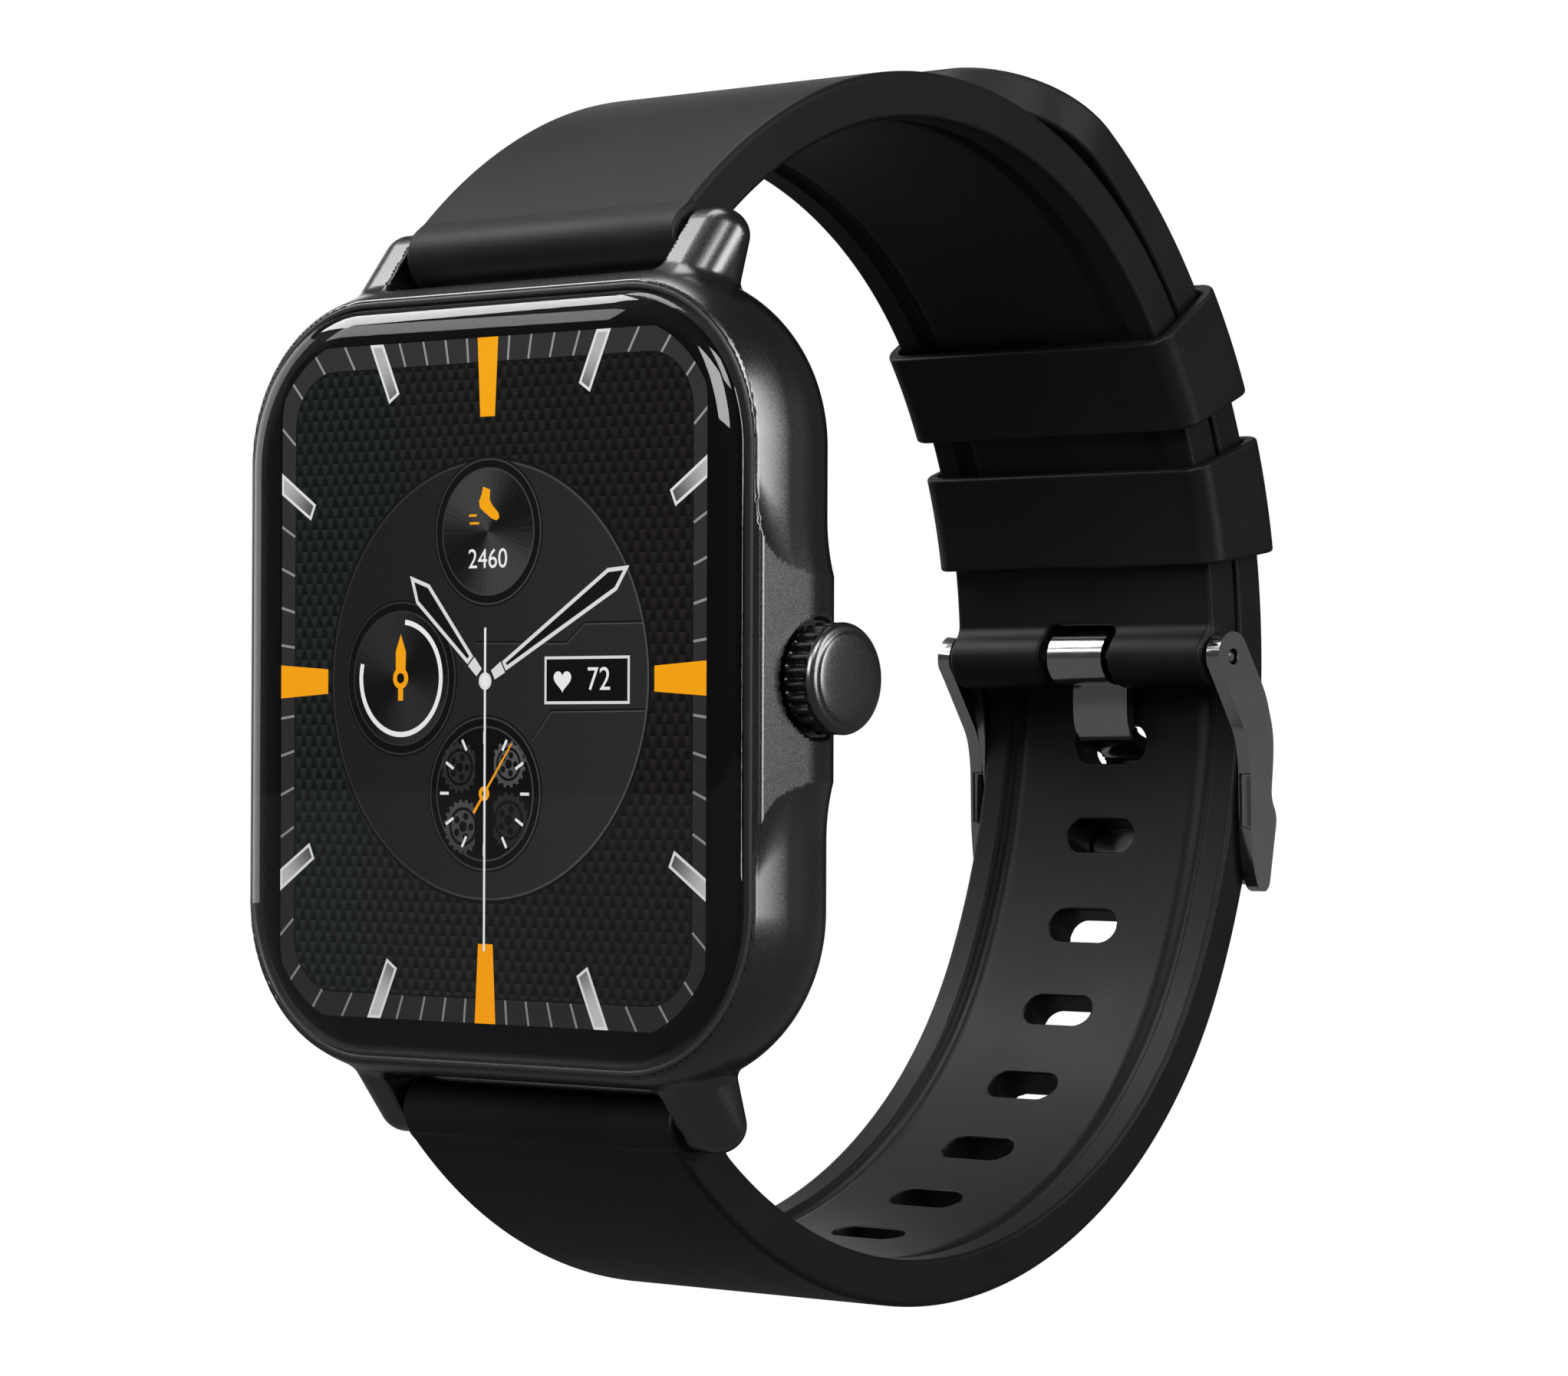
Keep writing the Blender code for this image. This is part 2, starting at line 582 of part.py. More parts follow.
def make_lower_strap(silicone):
    track = lower_track()
    tip_length = 7.0

    def half_at(done, total):
        taper = smooth_step((done - total + 40.0) / 36.0)
        half = TAIL_HALF + (STRAP_HALF_LUG - TAIL_HALF) * taper
        if done < tip_length:
            half *= math.sqrt(1 - 0.93 * (1 - done / tip_length) ** 2)
        return half

    def thick_at(done, total):
        return OUTER_THICK + 0.2 * smooth_step((done - 70) / 20) + 0.7 * smooth_step((done - total + 4) / 4)

    strap = add_object("strap_lower", strap_body(track, -1, half_at, thick_at), silicone,
                       (0, BAR_Y, -BAR_Z))
    join(strap, rod_x(-STRAP_HALF_LUG, STRAP_HALF_LUG, BAR_Y, -BAR_Z, BARREL_R, 28))
    cut(strap, rod_x(-12, 12, BAR_Y, -BAR_Z, BAR_TUBE_R + 0.2))
    fine = follow(track[0][:2], track[0][2], [(INNER_R + INNER_THICK + LAYER_GAP + OUTER_THICK, -57.2),
                                              (48.6, -31.2), (31.6, -113.3)], 0.1)
    first = next(p for p in fine if p[1] < -3.65)
    for k in range(-HOLES_UP, HOLES_DOWN):
        y, z, heading, _ = min(fine, key=lambda p: abs(p[3] - first[3] - k * HOLE_PITCH))
        cut(strap, hole_cutter(y, z, heading))


def make_keepers(silicone):
    low = INNER_R - 0.2 - KEEPER_WALL
    high = INNER_R + INNER_THICK + LAYER_GAP + OUTER_THICK + 0.15 + KEEPER_WALL
    pivot = axis_empty("loop_axis", (0, LOOP_Y, LOOP_Z))
    for name, (start, end) in KEEPERS.items():
        walls = []
        for wall, corner in ((0.0, 1.5), (KEEPER_WALL, 0.8)):
            mid = (low + high) / 2
            section = rounded_rect(KEEPER_HALF_X - wall, (high - low) / 2 - wall, corner, 4)
            rings = []
            for i in range(5):
                degrees = start + (end - start) * i / 4
                rings.append([(x, *loop_point(mid + r, degrees)) for x, r in section])
            walls.append(rings)
        add_object(name, sleeve(*walls), silicone, (0, LOOP_Y, LOOP_Z), pivot)


# ---------------------------------------------------------------- buckle
def make_buckle():
    chrome = material("black_chrome", (0.16, 0.16, 0.165), 0.1, 1.0)
    py, pz = tube_centre()
    pivot = axis_empty("buckle_axis", (0, py, pz))

    head = arc(py, pz, ARM_HEAD_R, 30, 200, 10)
    front = [(py - 0.75, pz - 1.65), (py + 1.5, pz - 5.1), (py + 1.85, pz - 6.9), (py + 1.95, pz - 11.2),
             (py + 2.2, pz - 13.4), (py + 2.75, pz - 14.75)]
    back = [(py + 3.5, pz - 15.0), (py + 3.95, pz - 14.6), (py + 4.75, pz - 10.1), (py + 4.1, pz - 9.0),
            (py + 4.35, pz - 6.2), (py + 4.3, pz - 4.7), (py + 3.5, pz - 2.3)]
    arms = prism_x(head + front + back, ARM_IN_X, ARM_OUT_X)
    bmesh.ops.bevel(arms, geom=list(arms.edges), offset=0.13, segments=1, affect="EDGES")
    frame = add_object("buckle_frame", arms, chrome, (0, py, pz), pivot)
    other = prism_x(head + front + back, -ARM_OUT_X, -ARM_IN_X)
    bmesh.ops.bevel(other, geom=list(other.edges), offset=0.13, segments=1, affect="EDGES")
    bar = [(py + 4.25, pz - 9.3), (py + 4.7, pz - 9.2), (py + 5.0, pz - 9.7), (py + 4.3, pz - 14.2),
           (py + 3.75, pz - 14.6), (py + 3.25, pz - 14.2)]
    join(frame, prism_x(bar, 0.4 - ARM_OUT_X, ARM_OUT_X - 0.4))
    join(frame, other)
    cut(frame, rod_x(-13, 13, py, pz, 0.5, 16))

    # Tongue: a curl round the pin, a plate down the wrist side, then out through the first hole.
    centre = arc(py, pz, CURL_R, 288, 0, 18)
    centre += [(py + 1.4, pz - 1.5), (py + 1.4, pz - 3.4), (py + 1.5, pz - 4.2), (py + 1.8, pz - 4.85),
               (py + 2.4, pz - 5.3), (py + 4.3, pz - 6.15), (py + 4.85, pz - 6.6), (py + 5.0, pz - 7.2),
               (py + 4.85, pz - 8.35)]
    left_side, right_side = [], []
    for i, (y, z) in enumerate(centre):
        before = centre[max(i - 1, 0)]
        after = centre[min(i + 1, len(centre) - 1)]
        dy, dz = after[0] - before[0], after[1] - before[1]
        size = math.hypot(dy, dz)
        ny, nz = -dz / size * TONGUE_THICK / 2, dy / size * TONGUE_THICK / 2
        left_side.append((y + ny, z + nz))
        right_side.append((y - ny, z - nz))
    tongue = prism_x(left_side + right_side[::-1], -TONGUE_HALF_X, TONGUE_HALF_X)
    add_object("buckle_tongue", tongue, chrome, (0, py, pz), pivot)


# ---------------------------------------------------------------- spring bars
def coil(x_low, x_high, y, z, radius, wire, turns, sides=8):
    """Solid helix along X."""
    rings = []
    steps = turns * sides
    for i in range(steps + 1):
        angle = 2 * math.pi * i / sides
        x = x_low + (x_high - x_low) * i / steps
        ring = []
        for k in range(4):
            turn = math.pi / 2 * k
            r = radius + wire * math.cos(turn)
            ring.append((x + wire * math.sin(turn), y + r * math.cos(angle), z + r * math.sin(angle)))
        rings.append(ring)
    return loft(rings)


def make_spring_bar(prefix, y, z, half_length, reach):
    """Hollow bar of the given half length whose tips reach out to reach."""
    steel = material("steel", (0.45, 0.45, 0.46), 0.35, 1.0)
    wall = 0.3
    tube = add_object(prefix + "_tube", tube_x(-half_length, half_length, y, z, BAR_TUBE_R, BAR_BORE_R),
                      steel, (0, y, z))
    for side in (1, -1):
        ends = sorted((side * (half_length - wall), side * half_length))
        join(tube, tube_x(*ends, y, z, BAR_TUBE_R - 0.03, TIP_R + 0.06))
    for name, side in (("right", 1), ("left", -1)):
        profile = [(half_length - 1.6, TIP_HEAD_R), (half_length - wall - 0.1, TIP_HEAD_R),
                   (half_length - wall - 0.1, TIP_R), (reach - 0.12, TIP_R), (reach, TIP_R * 0.6)]
        shape = turned_x([(side * x, r) for x, r in profile], y, z, 16)
        add_object("%s_tip_%s" % (prefix, name), shape, steel, (side * half_length, y, z))
    spring_end = half_length - 2.9
    add_object(prefix + "_spring", coil(-spring_end, spring_end, y, z, 0.34, 0.09, 12), steel, (0, y, z))


def main():
    clear_scene()
    silicone = material("silicone", (0.028, 0.028, 0.029), 0.55)
    make_case()
    make_front()
    make_electronics()
    make_back()
    make_crown()
    make_upper_strap(silicone)
    make_lower_strap(silicone)
    make_keepers(silicone)
    make_buckle()
    make_spring_bar("bar_upper", BAR_Y, BAR_Z, 10.6, 11.95)
    make_spring_bar("bar_lower", BAR_Y, -BAR_Z, 10.6, 11.95)
    make_spring_bar("bar_buckle", *tube_centre(), 10.05, 11.3)


main()
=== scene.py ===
"""Looks of the smartwatch: fine surfaces, materials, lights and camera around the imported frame.

Frame: +X towards the crown (3 o'clock), +Z towards 12 o'clock, -Y out of the display.
Sizes below are in millimetres, as in the CAD source; meshes are built in metres.
"""

import itertools
import math

import bmesh
import bpy
import numpy as np
from mathutils import Matrix, Vector


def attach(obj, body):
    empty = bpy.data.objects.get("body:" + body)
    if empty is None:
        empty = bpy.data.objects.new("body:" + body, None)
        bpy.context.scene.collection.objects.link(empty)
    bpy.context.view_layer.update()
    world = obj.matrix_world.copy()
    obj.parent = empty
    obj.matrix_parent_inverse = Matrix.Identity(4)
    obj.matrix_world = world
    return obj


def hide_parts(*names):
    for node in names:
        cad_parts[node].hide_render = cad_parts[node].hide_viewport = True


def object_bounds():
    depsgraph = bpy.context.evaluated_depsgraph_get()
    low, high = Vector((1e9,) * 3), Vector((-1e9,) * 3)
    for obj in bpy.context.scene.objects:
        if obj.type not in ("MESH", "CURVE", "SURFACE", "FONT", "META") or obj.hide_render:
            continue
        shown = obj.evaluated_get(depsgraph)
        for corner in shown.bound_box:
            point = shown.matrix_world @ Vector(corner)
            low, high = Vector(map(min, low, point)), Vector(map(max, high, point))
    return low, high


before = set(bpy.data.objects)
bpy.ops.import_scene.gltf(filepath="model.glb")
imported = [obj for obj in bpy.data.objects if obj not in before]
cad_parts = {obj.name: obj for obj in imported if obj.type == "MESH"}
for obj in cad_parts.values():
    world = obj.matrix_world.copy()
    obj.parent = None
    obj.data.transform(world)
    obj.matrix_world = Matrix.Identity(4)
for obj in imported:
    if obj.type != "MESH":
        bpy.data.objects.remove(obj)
cad_low, cad_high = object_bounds()

MM = 0.001

# ---------------------------------------------------------------- sizes shared with the CAD model (mm)
CASE_FRONT_Y = -9.38
CASE_WIDEST_Y = -5.9
CASE_BACK_Y = -0.78
CASE_HALF_X = 20.45
CASE_HALF_Z = 23.05
CASE_CORNER = 10.1
CASE_BACK_ROUND = 5.8
GUARD_BASE = 0.05
GUARD_SLOPE = 0.12
GUARD_SLOPE_DEPTH = 4.0
GUARD_HALF_Z = 5.7
GUARD_ARCH = 2.5  # how much wider the guard is at the front
GUARD_ARCH_DEPTH = 1.3
GUARD_FLARE = 3.3
GUARD_FADE_Y = -2.6
GUARD_FADE = 1.8
FRONT_LEAN_DEPTH = 2.4
FRONT_LEAN_X = 0.38
FRONT_LEAN_Z = 0.68

OPENING = (19.82, 22.12, 9.5)
CAVITY = (18.7, 21.0, 8.5)
CAVITY_BACK = (17.3, 19.6, 8.0)
LEDGE_Y = -8.2
CAVITY_STEP_Y = -4.5
BACK_LEDGE_Y = -1.95
BACK_LIP = 0.65
BACK_OPENING = (16.1, 18.75, 7.7)
BACK_THROUGH = (14.7, 17.35, 7.0)

RING_OUT = (19.94, 22.24, 9.6)
GLASS_RIM = (19.42, 21.75, 9.1)
GLASS_TOP_Y = -10.75
GLASS_EDGE_Y = -9.45
GLASS_FOOT_Y = -9.1
GLASS_CURVE = 3.3
PRINT_TOP_Y = -9.91
PRINT_FOOT_Y = -9.2
SCREEN_Y = -9.725
ACTIVE = (17.0, 19.65, 4.2)  # part of the screen that lights up

LUG_IN_X = 11.0
LUG_OUT_X = 14.2
BAR_Y = -3.8
BAR_Z = 25.2
LUG_TIP_R = 1.62
LUG_FRONT = (-0.784, 0.62)  # (y, z) direction that the front face looks in
LUG_BACK = (0.955, -0.296)
LUG_ROUND = 1.9
LUG_INNER_ROUND = 0.12
LUG_ROOT_Z = 19.5
LUG_FILLET = 0.5

CROWN_Y = -4.5
CROWN_R = 3.12
CROWN_IN_X = 20.45
CROWN_GROOVES = 24
GROOVE_DEPTH = 0.32
CROWN_EDGE_X = 22.15
CROWN_ROUND = 0.46
CROWN_FACE_X = 22.66
CROWN_FACE_R = 2.52
CROWN_DOME = 0.2
CROWN_RECESS_R = 3.4
CROWN_FLOOR_X = 20.0
STEM_BORE_R = 1.3
STEM_BORE_X = 15.5
BAR_HOLE_R = 0.45
BAR_HOLE_X = 12.3

LOOP_Y = 11.16
LOOP_Z = 2.64
INNER_R = 34.4
INNER_THICK = 2.8
LAYER_GAP = 0.3
OUTER_THICK = 2.6
STRAP_HALF_LUG = 10.75
STRAP_HALF_BACK = 10.3
TAIL_HALF = 10.2
BARREL_R = 1.95
TUBE_R = 1.95
TUBE_DEG = -0.8
TUBE_LOOP_R = 35.25
TAIL_DEG = 64.0
TAIL_ROUND = 7.6
HOLE_HALF_X = 2.65
HOLE_HALF_S = 1.15
HOLE_PITCH = 6.4
HOLE_STRETCH = 0.22  # the buckled hole is drawn wider by the tang
HOLES_DOWN = 8
HOLES_UP = 2
HOLE_Z = -3.65
STRAP_OUTER_ROUND = 0.34
STRAP_WRIST_ROUND = 0.28
LEAD_DEG = 0.3  # the upper half's band starts this far past its tube
TUBE_FILLET = 0.5
BARREL_FILLET = 0.22
BARREL_END_ROUND = 0.3
MOUTH_ROUND = 0.1
KEEPERS = {"keeper_lower": (9.0, 19.6), "keeper_upper": (23.9, 34.4)}
KEEPER_HALF_X = 11.4
KEEPER_WALL = 0.75
BORE_R = 0.95

ARM_IN_X = 10.45
ARM_OUT_X = 11.4
ARM_HEAD_R = 1.6
PIN_BORE_R = 0.52
TONGUE_HALF_X = 2.18
TONGUE_THICK = 0.7
CURL_R = 1.4


# ---------------------------------------------------------------- materials
GLASS_IOR = 1.5
COLOR_SOCKETS = (6, 7)
COLOR_RESULT = 2


def srgb(red, green, blue):
    """Linear colour of a display colour given from 0 to 255."""
    linear = []
    for value in (red / 255, green / 255, blue / 255):
        linear.append(value / 12.92 if value <= 0.04045 else ((value + 0.055) / 1.055) ** 2.4)
    return (*linear, 1.0)


def grey(level):
    return srgb(level, level, level)


class Graph:
    """A Principled material and the few node calls the looks below need."""

    def __init__(self, name, color=grey(60), roughness=0.5, metallic=0.0):
        self.material = bpy.data.materials.new(name)
        self.material.use_nodes = True
        self.tree = self.material.node_tree
        self.shader = self.tree.nodes["Principled BSDF"]
        self.set("Base Color", color)
        self.set("Roughness", roughness)
        self.set("Metallic", metallic)
        self.mm = self.stretched(self.node("ShaderNodeTexCoord").outputs["Object"], (1 / MM, 1 / MM, 1 / MM))

    def node(self, kind, *values, **settings):
        made = self.tree.nodes.new(kind)
        for key, value in settings.items():
            setattr(made, key, value)
        for socket, value in zip(made.inputs, values):
            self.feed(socket, value)
        return made

    def feed(self, socket, value):
        if isinstance(value, bpy.types.NodeSocket):
            self.tree.links.new(value, socket)
        elif value is not None:
            socket.default_value = value

    def set(self, name, value):
        self.feed(self.shader.inputs[name], value)

    def math(self, operation, *values, clamp=False):
        return self.node("ShaderNodeMath", *values, operation=operation, use_clamp=clamp).outputs[0]

    def add(self, first, second):
        return self.math("ADD", first, second)

    def less(self, first, second):
        return self.math("SUBTRACT", first, second)

    def times(self, first, second):
        return self.math("MULTIPLY", first, second)

    def stretched(self, vector, factors):
        return self.node("ShaderNodeVectorMath", vector, factors, operation="MULTIPLY").outputs[0]

    def axes(self):
        return self.node("ShaderNodeSeparateXYZ", self.mm).outputs[:3]

    def spread(self, value, from_low, from_high, to_low, to_high):
        """value mapped from one range to another, smoothly and without leaving it."""
        made = self.node("ShaderNodeMapRange", value, from_low, from_high, to_low, to_high,
                         interpolation_type="SMOOTHSTEP")
        return made.outputs[0]

    def noise(self, scale, detail=2.0, stretch=(1, 1, 1), roughness=0.5):
        """Noise from about 0 to 1; scale is in features per millimetre."""
        made = self.node("ShaderNodeTexNoise")
        self.feed(made.inputs["Vector"], self.stretched(self.mm, stretch))
        for key, value in (("Scale", scale), ("Detail", detail), ("Roughness", roughness)):
            made.inputs[key].default_value = value
        return made.outputs["Fac"]

    def mix(self, factor, first, second):
        """Colour between first and second."""
        made = self.node("ShaderNodeMix", data_type="RGBA")
        self.feed(made.inputs["Factor"], factor)
        for index, color in zip(COLOR_SOCKETS, (first, second)):
            self.feed(made.inputs[index], color)
        return made.outputs[COLOR_RESULT]

    def surface(self, factor, first, second):
        """Makes the material a mix of two shaders."""
        mixed = self.node("ShaderNodeMixShader", factor, first.outputs[0], second.outputs[0])
        self.feed(self.tree.nodes["Material Output"].inputs["Surface"], mixed.outputs[0])
        return self.material

    def bump(self, height, distance_mm):
        made = self.node("ShaderNodeBump")
        made.inputs["Distance"].default_value = distance_mm * MM
        self.feed(made.inputs["Height"], height)
        self.set("Normal", made.outputs[0])

    def glow(self, color):
        """Light given off by the display: the surface itself is black."""
        for key, value in (("Base Color", (0, 0, 0, 1)), ("Roughness", 0.6), ("Specular IOR Level", 0.0),
                           ("Emission Color", color), ("Emission Strength", 1.0)):
            self.set(key, value)
        return self.material


def scaled(color, factor):
    """Colour made lighter or darker, within white."""
    return tuple(min(part * factor, 1.0) for part in color[:3]) + (1.0,)


def blasted_metal(name, color, roughness, grain=11.0):
    """Bead-blasted metal: fine sparkle in its roughness, colour and surface."""
    g = Graph(name, color, roughness, 1.0)
    fine = g.noise(grain, 2.0, roughness=0.7)
    g.set("Roughness", g.spread(fine, 0.3, 0.7, roughness - 0.03, roughness + 0.04))
    g.set("Base Color", g.mix(g.spread(fine, 0.32, 0.68, 0, 1), scaled(color, 0.93), scaled(color, 1.08)))
    g.bump(fine, 0.0011)
    return g.material


def polished_metal(name, color, roughness):
    """Polished plating with hairline marks along the piece."""
    g = Graph(name, color, roughness, 1.0)
    hair = g.noise(2.0, 3.0, (1.0, 14.0, 1.0))
    cloud = g.noise(0.35, 2.0)
    hairlines = g.spread(hair, 0.35, 0.75, roughness, roughness + 0.05)
    g.set("Roughness", g.add(hairlines, g.spread(cloud, 0.4, 0.7, 0.0, 0.04)))
    g.bump(hair, 0.0008)
    return g.material


def silicone_rubber():
    """Matte moulded silicone with a very fine skin and faint cloudy wear."""
    g = Graph("silicone", grey(15), 0.5)
    skin = g.noise(9.0, 2.0)
    cloud = g.noise(0.12, 3.0)
    g.set("Base Color", g.mix(g.spread(cloud, 0.35, 0.65, 0, 1), grey(15), grey(19)))
    g.set("Roughness", g.add(g.spread(cloud, 0.3, 0.7, 0.43, 0.49), g.spread(skin, 0.3, 0.7, 0.0, 0.06)))
    g.set("Specular IOR Level", 0.2)
    g.bump(skin, 0.004)
    return g.material


def moulded_plastic(name, color, roughness, grain=5.0, depth=0.006):
    """Plastic with a fine moulded grain; depth is the grain's height in millimetres."""
    g = Graph(name, color, roughness)
    fine = g.noise(grain, 2.0)
    g.set("Roughness", g.spread(fine, 0.3, 0.7, roughness - 0.05, roughness + 0.07))
    g.set("Base Color", g.mix(g.spread(fine, 0.3, 0.7, 0, 1), color, scaled(color, 1.15)))
    g.bump(fine, depth)
    return g.material


def clear_glass():
    """Clear cover: it mirrors by Fresnel on its outer faces and lets everything else through."""
    g = Graph("cover_glass", grey(8), 0.02)
    clear = g.node("ShaderNodeBsdfTransparent", (0.97, 0.975, 0.98, 1))
    gloss = g.node("ShaderNodeBsdfGlossy", (1, 1, 1, 1))
    smear = g.noise(0.05, 3.0)
    g.feed(gloss.inputs["Roughness"], g.spread(smear, 0.4, 0.7, 0.012, 0.03))
    fresnel = g.node("ShaderNodeFresnel", GLASS_IOR)
    outside = g.less(1.0, g.node("ShaderNodeNewGeometry").outputs["Backfacing"])
    return g.surface(g.times(fresnel.outputs[0], outside), clear, gloss)


def tinted_window():
    """Dark polished sensor window that shows a little of the parts behind it."""
    g = Graph("sensor_glass", grey(6), 0.05)
    smear = g.noise(0.4, 3.0)
    g.set("Roughness", g.spread(smear, 0.4, 0.7, 0.04, 0.1))
    clear = g.node("ShaderNodeBsdfTransparent", (0.3, 0.32, 0.33, 1))
    return g.surface(0.55, clear, g.shader)


# ---------------------------------------------------------------- pieces
def placed(name, data):
    """A new object of the scene that shows data."""
    obj = bpy.data.objects.new(name, data)
    bpy.context.scene.collection.objects.link(obj)
    return obj


def mesh_of(name, bm):
    """Mesh in metres from a bmesh in millimetres, its faces turned outwards."""
    bmesh.ops.recalc_face_normals(bm, faces=bm.faces)
    for vert in bm.verts:
        vert.co *= MM
    mesh = bpy.data.meshes.new(name)
    bm.to_mesh(mesh)
    bm.free()
    return mesh


def add_piece(name, points, faces, material, body, replaces, slot, normals):
    """A mesh object from points in millimetres, riding on a body of the frame."""
    mesh = bpy.data.meshes.new(name)
    mesh.from_pydata((np.asarray(points, float) * MM).tolist(), [], [list(map(int, f)) for f in faces])
    return finish_piece(name, mesh, material, body, replaces, slot, normals)


def finish_piece(name, mesh, materials, body, replaces=(), slot=None, normals=None, sharp=35.0):
    for material in materials if isinstance(materials, (list, tuple)) else [materials]:
        mesh.materials.append(material)
    mesh.update()
    mesh.shade_smooth()
    if normals is not None:
        mesh.normals_split_custom_set_from_vertices(np.asarray(normals, float).tolist())
    else:
        mesh.set_sharp_from_angle(angle=math.radians(sharp))
    obj = placed(name, mesh)
    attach(obj, body)
    if replaces:
        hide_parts(*replaces)
    return obj


def from_bmesh(name, bm, *rest, **named):
    """The same from a bmesh in millimetres."""
    return finish_piece(name, mesh_of(name, bm), *rest, **named)


def bake_modifiers(obj):
    """Applies the modifiers of an object to its mesh."""
    graph = bpy.context.evaluated_depsgraph_get()
    graph.update()
    made = bpy.data.meshes.new_from_object(obj.evaluated_get(graph))
    obj.modifiers.clear()
    obj.data = made


def combine(obj, cutter, operation):
    """Joins the bmesh cutter, in millimetres, to an object or cuts it out."""
    tool = placed("cutter", mesh_of("cutter", cutter))
    made = obj.modifiers.new("cut", "BOOLEAN")
    made.operation, made.solver, made.object = operation, "EXACT", tool
    bake_modifiers(obj)
    bpy.data.objects.remove(tool)


def even_normals(obj):
    """Flat faces stay flat and only the narrow edge faces between them look round."""
    obj.data.shade_smooth()
    obj.data.set_sharp_from_angle(angle=math.radians(50))
    made = obj.modifiers.new("normals", "WEIGHTED_NORMAL")
    made.keep_sharp = True
    made.weight = 100
    bake_modifiers(obj)


# ---------------------------------------------------------------- surfaces from distance fields
def spaced(*runs):
    """Grid positions from (start, end, step) runs that follow each other."""
    parts = []
    for start, end, step in runs:
        count = max(1, round((end - start) / step))
        parts.append(np.linspace(start, end, count + 1)[:-1])
    return np.concatenate(parts + [[runs[-1][1]]])


def rounded_box(a, b, half_a, half_b, radius):
    """Signed distance to a rounded rectangle in a plane."""
    qa = np.abs(a) - (half_a - radius)
    qb = np.abs(b) - (half_b - radius)
    return np.hypot(np.maximum(qa, 0), np.maximum(qb, 0)) + np.minimum(np.maximum(qa, qb), 0) - radius


def both(a, b, radius=0.0):
    """Where two fields overlap, with the edge between them rounded."""
    outside = np.hypot(np.maximum(a + radius, 0), np.maximum(b + radius, 0))
    return outside + np.minimum(np.maximum(a, b) + radius, 0) - radius


def either(a, b, radius=0.0):
    """Two fields joined, with a fillet between them."""
    return -both(-a, -b, radius)


def without(a, b, radius=0.0):
    return both(a, -b, radius)


def smooth_step(value):
    t = np.clip(value, 0.0, 1.0)
    return t * t * (3 - 2 * t)


def net_of(field, axes):
    """Closed quad net round the zero level of field(a, b, c) on a grid with the given axes."""
    values = np.empty([len(axis) for axis in axes], np.float32)
    plane_b, plane_c = np.meshgrid(axes[1], axes[2], indexing="ij")
    for i, a in enumerate(axes[0]):
        values[i] = field(np.full_like(plane_b, a), plane_b, plane_c)
    inside = values < 0
    count = np.zeros([n - 1 for n in values.shape], np.uint8)
    nx, ny, nz = count.shape
    for a, b, c in itertools.product((0, 1), repeat=3):
        count += inside[a:a + nx, b:b + ny, c:c + nz]
    active = (count > 0) & (count < 8)
    cells = np.argwhere(active)
    index = np.full(count.shape, -1, np.int64)
    index[active] = np.arange(len(cells))
    total = np.zeros((len(cells), 3))
    hits = np.zeros(len(cells))
    for axis in range(3):
        one, two = (axis + 1) % 3, (axis + 2) % 3
        for shift_one, shift_two in itertools.product((0, 1), repeat=2):
            start = cells.copy()
            start[:, one] += shift_one
            start[:, two] += shift_two
            end = start.copy()
            end[:, axis] += 1
            low, high = values[tuple(start.T)], values[tuple(end.T)]
            cross = (low < 0) != (high < 0)
            part = low[cross] / (low[cross] - high[cross])
            place = np.stack([axes[k][start[cross, k]] for k in range(3)], 1)
            place[:, axis] += part * (axes[axis][end[cross, axis]] - place[:, axis])
            total[cross] += place
            hits[cross] += 1
    points = total / hits[:, None]
    quads = []
    for axis in range(3):
        one, two = (axis + 1) % 3, (axis + 2) % 3
        low = np.take(inside, range(values.shape[axis] - 1), axis)
        high = np.take(inside, range(1, values.shape[axis]), axis)
        edges = np.argwhere(low != high)
        fits = (edges[:, one] > 0) & (edges[:, one] < values.shape[one] - 1)
        fits &= (edges[:, two] > 0) & (edges[:, two] < values.shape[two] - 1)
        edges = edges[fits]
        corners = []
        for back_one, back_two in ((1, 1), (0, 1), (0, 0), (1, 0)):
            cell = edges.copy()
            cell[:, one] -= back_one
            cell[:, two] -= back_two
            corners.append(index[tuple(cell.T)])
        quad = np.stack(corners, 1)
        outward = inside[tuple(edges.T)]
        quad[~outward] = quad[~outward][:, ::-1]
        quads.append(quad)
    return points, np.concatenate(quads)


SETTLE_ROUNDS = 4
PROBE = 0.01


def settle(field, points, reach=0.12):
    """Moves points on to the zero level of field and gives its unit normals there."""
    for _ in range(SETTLE_ROUNDS):
        slope = slope_of(field, points)
        size = np.maximum((slope ** 2).sum(1), 1e-6)
        step = -slope * (field(*points.T) / size)[:, None]
        length = np.linalg.norm(step, axis=1)
        points = points + step * np.minimum(1, reach / np.maximum(length, 1e-9))[:, None]
    slope = slope_of(field, points)
    return points, slope / np.maximum(np.linalg.norm(slope, axis=1), 1e-9)[:, None]


def slope_of(field, points):
    slope = np.empty_like(points)
    for axis in range(3):
        step = np.zeros(3)
        step[axis] = PROBE
        slope[:, axis] = (field(*(points + step).T) - field(*(points - step).T)) / (2 * PROBE)
    return slope


